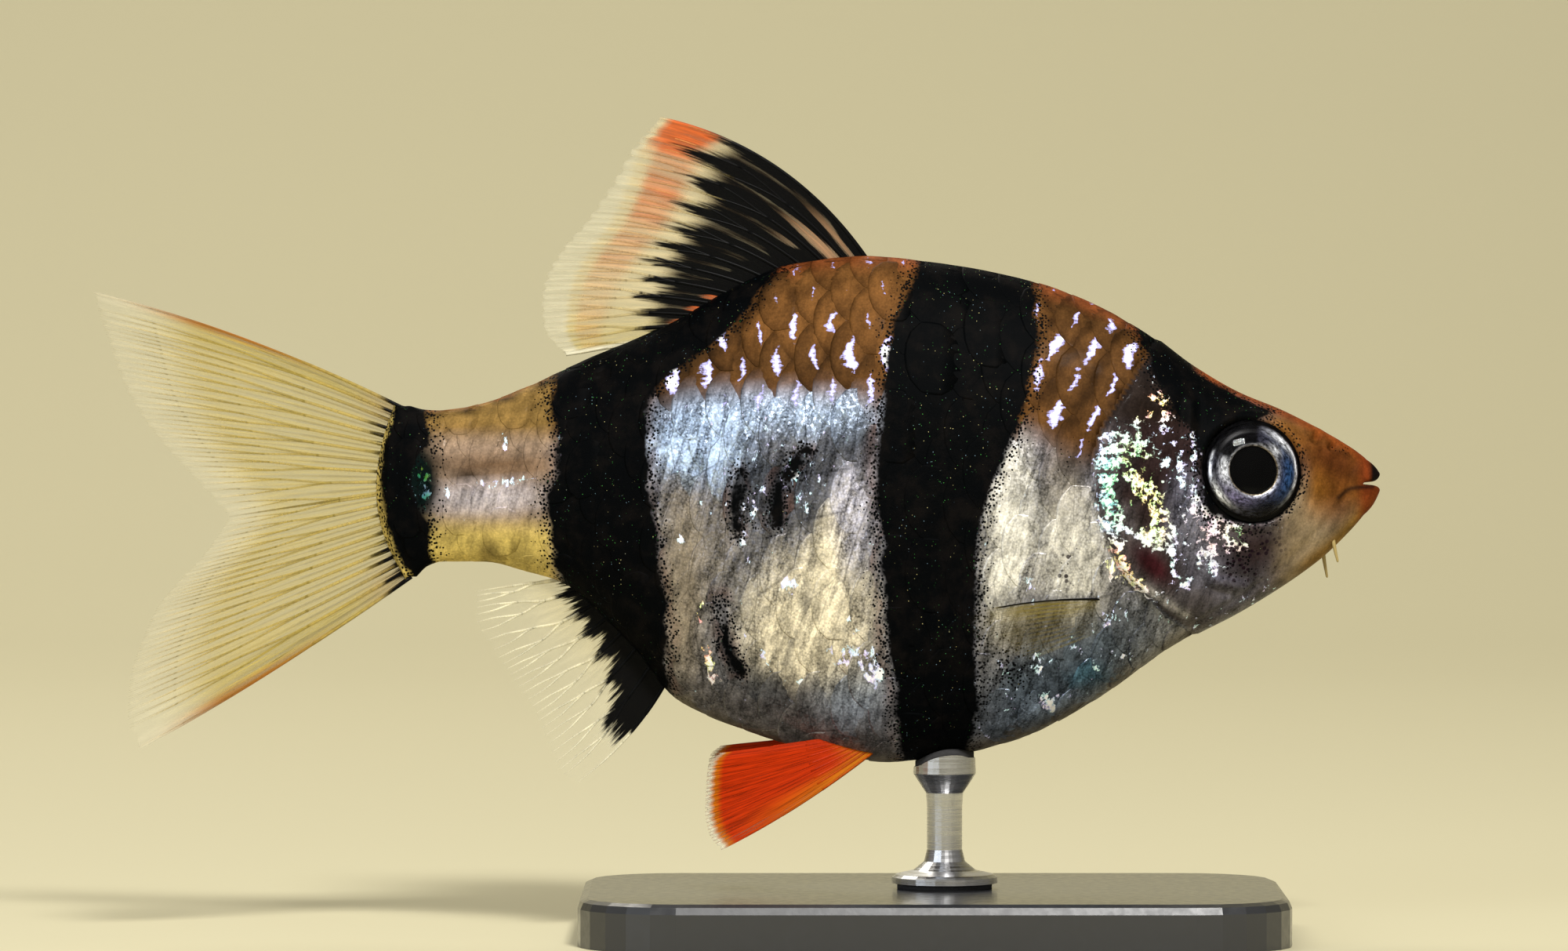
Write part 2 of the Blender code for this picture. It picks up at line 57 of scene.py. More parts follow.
# %% Outlines of the body, in millimetres
BACK = ((-17.9, 27.4), (-15.3, 26.93), (-13.0, 27.3), (-10.6, 28.2), (-7.7, 29.55), (-3.6, 31.3),
        (0.4, 33.5), (2.4, 34.3), (6.6, 34.8), (10.4, 34.45), (14.4, 33.7), (18.1, 32.4),
        (21.0, 30.8), (23.3, 29.1), (25.6, 27.76), (27.9, 26.8), (31.3, 24.95), (32.4, 24.12))
BELLY = ((-17.9, 17.9), (-16.6, 18.35), (-15.0, 19.0), (-13.0, 19.0), (-10.6, 18.45),
         (-9.2, 18.05), (-5.6, 14.9), (-3.1, 12.0), (0.7, 10.3), (4.8, 9.16), (7.8, 8.78),
         (10.5, 9.04), (14.4, 9.96), (18.4, 12.0), (22.4, 14.8), (25.9, 16.65), (29.6, 19.1),
         (31.3, 20.7), (32.4, 22.0))
WIDTH = ((-17.9, 0.75), (-17.0, 1.2), (-15.3, 1.5), (-9.3, 2.35), (-3.6, 3.7), (2.0, 4.6),
         (7.5, 4.9), (14.4, 4.75), (18.1, 4.4), (21.0, 3.95), (23.3, 3.5), (26.2, 2.95),
         (27.9, 2.5), (29.8, 1.95), (31.3, 1.45), (32.4, 1.15))
MIDLINE = ((-17.9, 22.7), (-9.3, 23.0), (2.0, 21.6), (8.0, 21.2), (14.4, 21.6), (18.1, 22.3),
           (23.3, 23.0), (27.9, 22.9), (32.4, 23.1))
BACK_FULLNESS = ((-17.9, 1.9), (14.0, 1.9), (24.0, 2.3), (32.4, 2.1))
BELLY_FULLNESS = 2.15
TAIL_END, SNOUT_END = -17.9, 32.0
TIP_X, MOUTH_Z, THROAT = 32.8, 23.1, 1.2
MOUTH_RINGS = ((0.8, 1.25, 1.3, 1.62), (0.35, 1.08, 0.96, 1.1), (0.10, 0.98, 0.66, 0.62),
               (0.0, 0.88, 0.46, 0.34), (0.12, 0.80, 0.22, 0.17), (0.42, 0.72, 0.09, 0.09),
               (0.95, 0.5, 0.09, 0.09), (THROAT, 0.0, 0.0, 0.0))
CORNER_SETBACK, SETBACK_FADE = 0.9, 3.2
GILL_EDGE = ((8.0, 30.0), (14.6, 24.6), (16.9, 21.4), (19.3, 19.2), (22.0, 18.2), (23.6, 18.05),
             (25.0, 18.2), (28.6, 20.2), (31.5, 22.6), (38.0, 28.0))
EYE_X, EYE_Y, EYE_Z = 26.2, 2.78, 23.84
EYE_FORWARD, EYE_UP, EYE_RADIUS = 0.21, 0.15, 2.62
print("body", SNOUT_END - TAIL_END, "mm from the tail's root to the snout")

# %% Reading a table smoothly
def smooth(table, at):
    """Cubic between the rows of a table, with the harmonic mean of the slopes on both sides
    of each row, so that it never overshoots."""
    place, value = np.array(sorted(table), float).T
    step = np.diff(place)
    rise = np.diff(value) / step
    slope = np.zeros(len(place))
    slope[0], slope[-1] = rise[0], rise[-1]
    product, total = rise[:-1] * rise[1:], rise[:-1] + rise[1:]
    same = product > 0
    slope[1:-1][same] = 2.0 * product[same] / total[same]
    at = np.clip(at, place[0], place[-1])
    i = np.clip(np.searchsorted(place, at) - 1, 0, len(place) - 2)
    t = (at - place[i]) / step[i]
    level = value[i] * (1 + 2 * t) * (1 - t) ** 2 + value[i + 1] * t * t * (3 - 2 * t)
    return level + step[i] * (slope[i] * t * (1 - t) ** 2 - slope[i + 1] * t * t * (1 - t))

def curve(table, t):
    """Point (x, z) at t along a table of (t, x, z)."""
    return np.stack([smooth([(row[0], row[k]) for row in table], t) for k in (1, 2)], axis=-1)

def columns_at(rows, k):
    """Each column of a list of rows, read smoothly at row number k."""
    return [smooth(list(enumerate(column)), k) for column in zip(*rows)]

def ease(t):
    """3 t squared minus 2 t cubed, flat at 0 and 1."""
    t = np.clip(t, 0.0, 1.0)
    return t * t * (3 - 2 * t)

def bell(distance, width):
    """e to the minus (distance / width) squared."""
    return np.exp(-(distance / width) ** 2)

print("back above the dorsal fin's root:", round(float(smooth(BACK, 4.0)), 2))

# %% Rings of flesh and of lips
def power_of(value, exponent):
    """A power that keeps the sign of its value."""
    return np.sign(value) * np.abs(value) ** exponent

def section(x, turn):
    """A ring of flesh: y is the half width times cos to 2/n, and z is the midline plus the
    height times sin to 2/n. At the cheeks the sides of a ring slide back to the mouth corners."""
    side, up = np.cos(turn), np.sin(turn)
    mid = smooth(MIDLINE, x)
    high = np.where(up > 0, smooth(BACK, x) - mid, mid - smooth(BELLY, x))
    power = 2.0 / np.where(up > 0, smooth(BACK_FULLNESS, x), BELLY_FULLNESS)
    back = CORNER_SETBACK * ease(1 - (SNOUT_END - x) / SETBACK_FADE)
    return np.stack([x - back * (1 - np.abs(up) ** 1.5) + 0 * up,
                     smooth(WIDTH, x) * power_of(side, power), mid + high * power_of(up, power)],
                    axis=-1)

def mouth_ring(k, turn):
    """A ring at step k of the lips: an ellipse that folds back into the mouth."""
    setback, half, above, below = columns_at(MOUTH_RINGS, k)
    side, up = np.cos(turn), np.sin(turn)
    power = 1 - 0.06 * ease(1 - k)
    x = TIP_X - setback - CORNER_SETBACK * (1 - np.abs(up) ** 1.5)
    return np.stack([x, half * power_of(side, power),
                     MOUTH_Z + np.where(up > 0, above, below) * power_of(up, power)], axis=-1)

def full_turn(count):
    """Equal angles round a circle, without the last, which is the first again."""
    return np.linspace(0, 2 * math.pi, count, endpoint=False)

def unit(vector):
    """Each vector along the last axis, divided by its length."""
    return vector / np.maximum(np.linalg.norm(vector, axis=-1, keepdims=True), 1e-9)

def normals_of(grid):
    """Unit normals of a grid of points: the cross product of its two slopes."""
    return unit(np.cross(np.gradient(grid, axis=1), np.gradient(grid, axis=0)))

print("lips at", np.round(mouth_ring(3.0, np.array([math.pi / 2])), 2))

# %% [markdown]
# ## Marks on the fish
#
# The bands, the orange back, the silver flank and the gold gill cover belong to the whole
# fish, so the skin, the scales and the gill cover must all carry the same ones. One function
# of the place on the flank gives them: a ground colour, a shine, and how deep a point lies
# inside a black band. The shaders only break up their edges.

# %% Colours, from the eight-bit values a painter would name
def shade(red, green, blue):
    """Linear colour from values of 0 to 255: (v + 0.055) / 1.055 to the power 2.4."""
    v = np.array([red, green, blue]) / 255.0
    return np.where(v > 0.04045, ((v + 0.055) / 1.055) ** 2.4, v / 12.92)

FLANK_SILVER, BLUE_SILVER, PEARL = shade(122, 121, 128), shade(178, 198, 226), shade(232, 228, 216)
FLANK_SHADOW, FLANK_LILAC, CHEST_BLUE = shade(50, 55, 62), shade(206, 203, 216), shade(78, 90, 104)
CREAM, CHEST_TEAL, BACK_SHADE = shade(236, 224, 196), shade(70, 112, 134), shade(26, 18, 11)
BACK_ORANGE, BACK_BROWN, RIDGE_ORANGE = shade(94, 62, 30), shade(50, 34, 18), shade(124, 60, 28)
STALK_BEIGE, STALK_YELLOW, TAN = shade(146, 124, 104), shade(188, 165, 92), shade(138, 126, 108)
STALK_GOLD, STALK_TAN, FRINGE = shade(132, 104, 56), shade(98, 74, 52), shade(96, 58, 34)
CHEEK_SILVER, GILL_HEM_GLINT, CHEEK_DARK = shade(78, 72, 74), shade(200, 196, 196), shade(40, 27, 26)
GILL_RED, CHEEK_LILAC, TEAL = shade(50, 14, 20), shade(116, 116, 134), shade(6, 16, 15)
CROWN_ORANGE, SNOUT_RUST, SNOUT_GOLD = shade(128, 62, 24), shade(76, 38, 16), shade(126, 82, 30)
LIP_RED, LIP_DARK, JAW_BEIGE, JAW_GOLD = (shade(112, 48, 20), shade(20, 14, 12), shade(134, 117, 92),
                                          shade(134, 98, 34))
BELLY_GREY, BELLY_EDGE = shade(110, 105, 104), shade(104, 92, 68)
print("a painter's 128 is", round(float(shade(128, 128, 128)[0]), 3), "in linear light")

# %% [markdown]
# A band is measured as two edges, an x for every height z. The smaller marks are ellipses,
# told as (x, z, half length, half height, turn), and three strokes. So each mark can be moved
# in millimetres, which a painted picture wouldn't allow.

# %% Edges of the bands: the x of an edge by height z, and a few patches
SECOND_FRONT = ((9.2, 11.8), (12.6, 12.4), (15.5, 12.2), (17.2, 12.2), (19.4, 12.25), (21.0, 12.4),
                (22.7, 13.0), (24.3, 13.6), (25.4, 14.1), (27.8, 14.8), (30.2, 15.28), (31.8, 15.4),
                (33.3, 15.2), (35.0, 14.6))
SECOND_REAR = ((9.0, 8.3), (10.7, 8.1), (13.3, 7.8), (15.9, 7.45), (17.7, 7.3), (20.3, 7.25), (22.0, 7.0),
               (24.6, 7.0), (27.2, 7.3), (29.8, 7.5), (31.4, 7.9), (33.3, 8.7), (34.6, 9.2))
THIRD_FRONT = ((12.0, -3.3), (15.9, -3.4), (17.7, -3.55), (19.4, -3.8), (21.1, -4.05), (24.6, -4.35),
               (26.6, -4.4), (27.6, -4.1), (28.6, -3.4), (29.4, -2.4), (30.7, -0.6), (31.7, 0.4),
               (32.7, 1.1), (34.3, 2.6), (35.2, 3.9))
THIRD_REAR = ((12.0, -9.0), (17.8, -9.0), (19.0, -9.4), (20.6, -9.6), (22.2, -9.8), (23.8, -9.2),
              (25.4, -9.1), (27.0, -9.6), (28.6, -9.4), (30.0, -8.6))
NAPE_FRONT = ((21.6, 25.6), (22.6, 24.4), (24.2, 24.0), (25.4, 24.3), (26.1, 25.6), (26.6, 27.1),
              (27.0, 27.5), (27.6, 26.7), (28.2, 25.7), (29.4, 23.7), (30.6, 21.9), (31.6, 20.6))
NAPE_REAR = ((21.6, 23.8), (22.6, 23.4), (24.2, 23.4), (25.4, 23.2), (26.6, 22.3), (27.4, 21.7),
             (28.2, 21.2), (29.4, 20.8), (30.6, 20.4), (31.6, 20.1))
FOURTH_FRONT = ((17.0, -15.3), (19.5, -15.4), (22.0, -15.5), (24.5, -15.4), (28.0, -15.9))
FOURTH_REAR = ((17.8, -16.5), (19.5, -17.4), (21.0, -18.0), (23.5, -18.25), (25.5, -18.0), (27.6, -17.3))
DARK_PATCHES = ((25.7, 19.2, 1.7, 1.5, 0.5, -0.22), (26.2, 20.75, 1.1, 0.32, -0.05, 0.12),
                (13.8, 13.7, 1.7, 2.4, 0.3, 0.05), (16.6, 19.0, 0.7, 1.3, 0.0, -0.75),
                (16.9, 24.6, 1.5, 1.0, 0.0, -0.55), (30.8, 24.9, 0.6, 0.4, -0.5, -0.2))
DARK_STROKES = ((0.34, ((0.20, 23.9), (0.08, 22.6), (0.0, 20.6))),
                (0.41, ((3.6, 24.9), (2.7, 23.7), (2.15, 22.7), (2.0, 21.3))),
                (0.36, ((-0.80, 17.1), (-0.65, 15.9), (-0.35, 14.7), (0.20, 13.6))))
GREEN_PATCH, GREEN_GROUND = (-16.0, 23.2, 0.62, 1.45, 0.05), (-16.3, 23.2, 1.25, 2.3, 0.05)
FRECKLES = ((25.7, 19.5, 2.0, 1.6, 0.5), (16.6, 19.0, 0.5, 1.1, 0.0))
ORANGE_EDGE = ((-18.0, 25.3), (-9.0, 25.6), (-4.0, 27.6), (0.0, 27.9), (5.0, 27.9), (10.0, 27.0),
               (15.0, 25.8), (18.5, 24.6), (23.0, 24.5))
PREOPERCLE = ((23.0, 27.2), (22.9, 25.0), (23.0, 22.0), (23.3, 20.0), (24.3, 18.2), (25.8, 17.9))
COVER_HEM = ((18.5, 20.0), (18.8, 19.2), (19.8, 18.4), (21.0, 17.7), (22.8, 16.5))
print("bands and", len(DARK_PATCHES), "patches, each as x, z, two radii, turn and blackness")

# %% Sparkles: patches where crystals catch the light, painted as bright glints, and the tints they take
SPARKLES = ((19.55, 25.0, 1.25, 0.75, 0.0), (18.75, 23.3, 0.62, 2.1, 0.0), (20.2, 23.0, 1.30, 0.60, -0.3),
            (19.0, 21.2, 0.80, 1.00, 0.3), (21.1, 20.5, 1.10, 0.70, -0.4), (21.3, 21.6, 0.45, 0.9, 0.2),
            (19.2, 19.9, 0.60, 0.40, 0.0), (19.3, 18.7, 0.80, 0.60, -0.6), (20.3, 17.8, 0.80, 0.40, -0.7),
            (21.6, 26.3, 0.28, 0.60, 0.0), (23.1, 25.0, 0.18, 1.30, 0.0), (21.4, 27.4, 0.60, 0.32, -0.3),
            (20.2, 26.2, 0.36, 0.28, 0.2), (21.7, 24.3, 0.30, 0.30, 0.0), (22.5, 23.7, 0.20, 0.90, 0.1),
            (23.2, 22.4, 0.22, 0.90, 0.15), (24.5, 21.0, 1.50, 0.75, -0.65), (25.2, 20.2, 0.80, 0.50, -0.4),
            (23.9, 19.4, 0.60, 0.90, 0.3), (22.8, 18.1, 0.36, 0.40, 0.0), (22.0, 20.0, 0.25, 1.6, 0.1),
            (18.9, 16.3, 0.75, 0.45, 0.45), (19.6, 14.5, 0.50, 0.42, 0.3), (17.2, 14.9, 0.20, 0.20, 0.0),
            (15.3, 14.1, 0.18, 0.36, -0.4), (15.6, 13.8, 0.42, 0.18, 0.0), (16.0, 14.1, 0.18, 0.36, 0.4),
            (17.8, 14.0, 0.80, 0.14, -0.1), (13.5, 14.0, 0.26, 0.32, 0.2), (13.9, 12.2, 0.30, 0.20, 0.0),
            (16.0, 12.1, 0.60, 0.36, -0.2), (12.7, 10.4, 0.40, 0.14, 0.1), (20.7, 15.7, 0.36, 0.26, 0.4),
            (15.05, 20.1, 0.15, 0.55, 0.0), (15.0, 17.9, 0.20, 0.60, -0.1), (18.2, 24.4, 0.3, 0.3, 0.0),
            (7.0, 13.7, 0.60, 1.05, 0.2), (5.8, 16.2, 0.60, 0.38, 0.0), (5.9, 14.6, 0.40, 0.60, 0.3),
            (5.0, 14.3, 0.50, 0.32, 0.2), (1.5, 14.5, 0.38, 0.36, 0.0), (3.6, 13.4, 0.80, 0.26, 0.0),
            (2.7, 17.8, 0.38, 0.48, 0.4), (-1.86, 16.6, 0.22, 0.85, 0.0), (-1.2, 14.1, 0.26, 0.95, 0.2),
            (3.0, 22.9, 0.22, 1.5, -0.12), (0.62, 21.4, 0.26, 1.7, -0.05),
            (-2.8, 20.3, 0.36, 0.36, 0.0), (-8.9, 24.9, 0.24, 0.80, -0.1), (-11.2, 23.2, 2.3, 0.20, 0.05),
            (-11.8, 25.2, 0.16, 0.65, -0.3), (-14.7, 22.6, 0.18, 0.60, 0.4), (-13.7, 21.3, 0.14, 0.35, -0.2),
            (-10.8, 26.8, 0.22, 0.30, 0.3))
HOLLOWS = ((19.56, 22.8, 0.42, 0.5, 0.3), (20.35, 21.5, 0.5, 0.6, 0.2))
SPARK_BLUE, SPARK_CYAN, SPARK_GREEN = (0.62, 0.74, 1.0), (0.20, 0.74, 0.66), (0.42, 0.74, 0.30)
SPARK_YELLOW, SPARK_GOLD, SPARK_PINK = (0.84, 0.84, 0.26), (0.95, 0.68, 0.28), (0.95, 0.70, 0.80)
DEEP_GREEN, DEEP_TEAL = (0.02, 0.16, 0.04), (0.02, 0.13, 0.15)
SPARK_TINTS = ((SPARK_GREEN, (20.0, 23.6, 1.2, 2.3, 0.0)), (SPARK_CYAN, (18.8, 23.0, 0.55, 1.9, 0.0)),
               (SPARK_YELLOW, (20.9, 22.0, 0.9, 2.0, 0.2)), (SPARK_GOLD, (21.0, 27.2, 1.6, 0.9, 0.0)),
               (SPARK_GOLD, (19.6, 19.0, 1.8, 1.0, -0.6)), (SPARK_PINK, (24.6, 20.6, 2.0, 1.2, -0.6)),
               (DEEP_GREEN, (-16.0, 23.9, 0.9, 1.2, 0.0)), (DEEP_TEAL, (-15.9, 22.0, 0.8, 0.9, 0.0)),
               (SPARK_GOLD, (-1.5, 15.6, 0.9, 2.6, 0.2)), (SPARK_CYAN, (3.0, 22.8, 0.3, 1.5, -0.12)),
               (SPARK_GREEN, (26.2, 20.6, 1.3, 0.5, 0.0)))
print(len(SPARKLES), "patches of sparkles,", len(HOLLOWS), "hollows and", len(SPARK_TINTS), "tints")

# %% Masks for patches and strokes on the flank
def patch(x, z, place):
    """Elliptic radius of a point about a patch (x, z, half length, half height, turn)."""
    cx, cz, rx, rz, turn = place[:5]
    along = (x - cx) * math.cos(turn) + (z - cz) * math.sin(turn)
    across = (z - cz) * math.cos(turn) - (x - cx) * math.sin(turn)
    return np.hypot(along / rx, across / rz)

def spot(x, z, place, soft=0.35):
    """1 inside a patch and 0 outside, easing over its soft edge."""
    return ease((1 + soft - patch(x, z, place)) / (2 * soft))

def stroke(x, z, line):
    """Distance to a smooth line through (x, z) points."""
    steps = np.linspace(0, 1, len(line))
    path = curve([(t, *p) for t, p in zip(steps, line)], np.linspace(0, 1, 90))
    away = np.full(np.shape(x), 1e9)
    for px, pz in path:
        away = np.minimum(away, np.hypot(x - px, z - pz))
    return away

def darkness(x, z):
    """How far inside the nearest black mark a point lies, in mm, negative outside."""
    def band(front, rear, low, high):
        return np.minimum(np.minimum(smooth(front, z) - x, x - smooth(rear, z)),
                          np.minimum(z - low, high - z))
    deep = band(SECOND_FRONT, SECOND_REAR, 0, 50)
    deep = np.maximum(deep, band(THIRD_FRONT, THIRD_REAR, 0, 50))
    deep = np.maximum(deep, band(FOURTH_FRONT, FOURTH_REAR, 0, 50))
    deep = np.maximum(deep, band(NAPE_FRONT, NAPE_REAR, 21.4, 31.8))
    for place in DARK_PATCHES:
        deep = np.maximum(deep, place[5] - (0.9 + place[5]) * patch(x, z, place) ** 1.5)
    for half, line in DARK_STROKES:
        deep = np.maximum(deep, 1.5 * (half - stroke(x, z, line)))
    from_eye = np.hypot(x - EYE_X, z - EYE_Z)
    below = np.cos(np.arctan2(z - EYE_Z, x - EYE_X) + 2.1)
    deep = np.maximum(deep, 0.20 + 0.28 * below - 2.6 * np.abs(from_eye - EYE_RADIUS))
    crown = np.maximum(1.5 * (23.3 - x), 2.2 * (smooth(BACK, x) - z - 0.22))
    deep = np.minimum(deep, np.where(x > 22.0, crown, 9.0))
    return np.clip(deep - 1.5 * spot(x, z, GREEN_PATCH, 0.5), -3, 3)

print("the second band is", darkness(np.array([10.0]), np.array([20.0])).round(1), "mm deep at x 10")

# %% [markdown]
# Ground colours are laid one over another like washes of paint, each through its own mask. A
# picture on an unwrap would do too, but washes follow the measured outlines and can be read
# at any point, on skin and scales alike.

# %% A wash of colour
class Wash:
    """Layers of colour, shine and glint over a set of points, each blended in by its mask."""

    def __init__(self, shape, colour, shine, glint):
        self.colour = np.broadcast_to(colour, shape + (3,)).copy()
        self.shine, self.glint = np.full(shape, shine), np.full(shape, glint)

    def lay(self, tint, mask, shine, glint=0.0):
        """Move every layer toward its new value by the share that the mask gives."""
        self.colour += (tint - self.colour) * mask[..., None]
        self.shine += (shine - self.shine) * mask
        self.glint += (glint - self.glint) * mask

sample = Wash((1,), PEARL, 0.5, 0.0)
sample.lay(BACK_ORANGE, np.array([0.5]), 0.1)
print("orange at half strength over pearl:", np.round(sample.colour[0], 2))

# %% Washes of the flank, the back and the stalk of the tail
def flank_washes(wash, x, z):
    """Silver flank, pearly belly, orange back and the beige stalk of the tail."""
    def dab(tint, place, soft, share, shine, glint):
        wash.lay(tint, spot(x, z, place, soft) * share, shine, glint)

    dab(TAN, (-2.7, 18.0, 1.0, 5.8, 0.0), 0.7, 0.9, 0.40, 0.05)
    dab(TAN, (-1.0, 20.2, 1.2, 2.6, 0.0), 0.7, 0.4, 0.60, 0.36)
    dab(CREAM, (3.7, 15.9, 2.9, 3.6, -0.25), 0.6, 0.9, 0.40, 0.20)
    dab(CREAM, (4.6, 19.6, 0.8, 2.6, -0.25), 0.7, 0.9, 0.40, 0.20)
    dab(FLANK_LILAC, (5.9, 21.8, 0.9, 2.6, 0.05), 0.6, 0.95, 0.60, 0.42)
    dab(FLANK_SHADOW, (5.6, 25.3, 1.7, 1.5, 0.1), 0.7, 0.75, 0.50, 0.50)
    dab(BLUE_SILVER, (2.6, 27.0, 4.2, 1.2, 0.0), 0.6, 0.75, 0.70, 0.48)
    dab(FLANK_SHADOW, (2.2, 23.2, 2.5, 2.0, 0.2), 0.7, 0.85, 0.60, 0.74)
    dab(BLUE_SILVER, (-1.9, 25.4, 2.6, 2.1, 0.0), 0.5, 0.95, 0.70, 0.50)
    # Painted shade along a diagonal crease of the flank.
    fold = stroke(x, z, ((4.3, 22.2), (3.5, 17.2), (2.75, 14.0)))
    wash.lay(FLANK_SHADOW, bell(fold, 0.13) * 0.6, 0.40, 0.2)
    dab(PEARL, (13.9, 20.6, 1.1, 4.2, -0.10), 0.6, 0.95, 0.36, 0.18)
    dab(FLANK_SHADOW, (15.5, 21.9, 0.45, 1.3, 0.0), 0.8, 0.45, 0.45, 0.1)
    dab(TAN, (16.6, 22.4, 0.9, 2.6, 0.0), 0.7, 0.6, 0.35, 0.05)
    dab(PEARL, (16.9, 19.6, 1.6, 2.8, 0.1), 0.7, 0.75, 0.30, 0.05)
    dab(BACK_BROWN, (17.1, 24.7, 1.7, 1.1, 0.0), 0.7, 0.7, 0.30, 0.1)
    wash.lay(BELLY_GREY, ease((13.3 - z + 0.10 * np.abs(x - 8)) / 1.6) * 0.9, 0.45, 0.30)
    dab(FLANK_SHADOW, (1.2, 12.9, 2.4, 0.8, -0.45), 0.8, 0.75, 0.50, 0.3)
    dab(CHEST_BLUE, (16.5, 13.5, 5.0, 1.9, 0.5), 0.6, 0.92, 0.50, 0.46)
    dab(BLUE_SILVER, (6.0, 12.2, 1.7, 1.3, 0.0), 0.8, 0.35, 0.50, 0.35)
    dab(CHEST_TEAL, (17.9, 13.4, 0.9, 0.5, 0.3), 0.8, 0.7, 0.50, 0.30)
    dab(BLUE_SILVER, (15.4, 11.5, 2.4, 0.34, 0.35), 0.9, 0.5, 0.50, 0.40)
    low = z - smooth(BELLY, x)
    wash.lay(BELLY_EDGE, ease((0.9 - low) / 0.9) * 0.8, 0.20, 0.0)
    deep = darkness(x, z)
    wash.lay(FRINGE, bell(deep + 0.12, 0.16) * ease((8.6 - x) / 1.0) * 0.5, 0.20, 0.1)
    over = z - smooth(ORANGE_EDGE, x)
    wash.lay(BACK_ORANGE, ease((over + 1.0) / 1.7), 0.10, 0.0)
    beside_third = bell(deep + 0.25, 0.5) * ease((z - 27.5) / 1.0) * ease((4.0 - x) / 2.0)
    wash.lay(BACK_SHADE, beside_third * 0.85, 0.05)
    wash.lay(BACK_BROWN, ease((x - 14.0) / 2.5) * ease((over + 0.6) / 1.8) * 0.5, 0.10, 0.0)
    wash.lay(BACK_BROWN, bell(over - 1.4, 0.9) * ease((8.0 - x) / 2.0) * 0.55, 0.10, 0.0)
    dab(BACK_BROWN, (-3.0, 28.6, 2.2, 1.1, 0.3), 0.8, 0.6, 0.10, 0.0)
    ridge = ease((0.9 - (smooth(BACK, x) - z)) / 1.0) * ease((x + 0.5) / 3.0)
    wash.lay(RIDGE_ORANGE, ridge * 0.8, 0.05, 0.0)
    stalk = ease((-8.8 - x) / 1.0)
    wash.lay(STALK_BEIGE, stalk * ease((26.2 - z) / 0.9), 0.30, 0.10)
    wash.lay(STALK_TAN, stalk * spot(x, z, (-12.0, 24.05, 3.2, 0.55, 0.0), 0.9) * 0.9, 0.20, 0.0)
    wash.lay(STALK_GOLD, stalk * ease((z - 24.9) / 1.6), 0.10, 0.0)
    wash.lay(STALK_YELLOW, stalk * ease((21.8 - z) / 1.5), 0.10, 0.0)
    wash.lay(FLANK_LILAC, stalk * spot(x, z, (-12.8, 22.4, 3.4, 0.75, 0.03), 0.8) * 0.55, 0.45, 0.40)
    wash.lay(BACK_SHADE, stalk * spot(x, z, (-13.6, 23.6, 0.7, 0.22, 0.0), 0.9) * 0.8, 0.20, 0.1)
    wash.lay(BACK_BROWN, stalk * spot(x, z, (-12.6, 19.7, 0.45, 0.7, 0.0), 0.9) * 0.6, 0.10, 0.4)
    edge_line = bell(smooth(BACK, x) - z - 0.30, 0.22)
    wash.lay(BACK_SHADE, stalk * edge_line * (0.5 + 0.5 * np.sin(3.1 * x)) * 0.9, 0.10, 0.0)
    wash.lay(CROWN_ORANGE, stalk * bell(smooth(BACK, x) - z, 0.14) * 0.8, 0.05, 0.0)
    wash.lay(STALK_YELLOW, ease((-16.9 - x) / 0.5), 0.10, 0.0)
    wash.lay(TEAL, spot(x, z, GREEN_GROUND, 0.4), 0.0, 0.0)
    wash.glint += (0.85 - wash.glint) * spot(x, z, GREEN_PATCH, 0.5)

sample = Wash((1,), FLANK_SILVER, 0.70, 0.42)
flank_washes(sample, np.array([2.0]), np.array([31.0]))
print("the back between the bands:", np.round(sample.colour[0], 2))

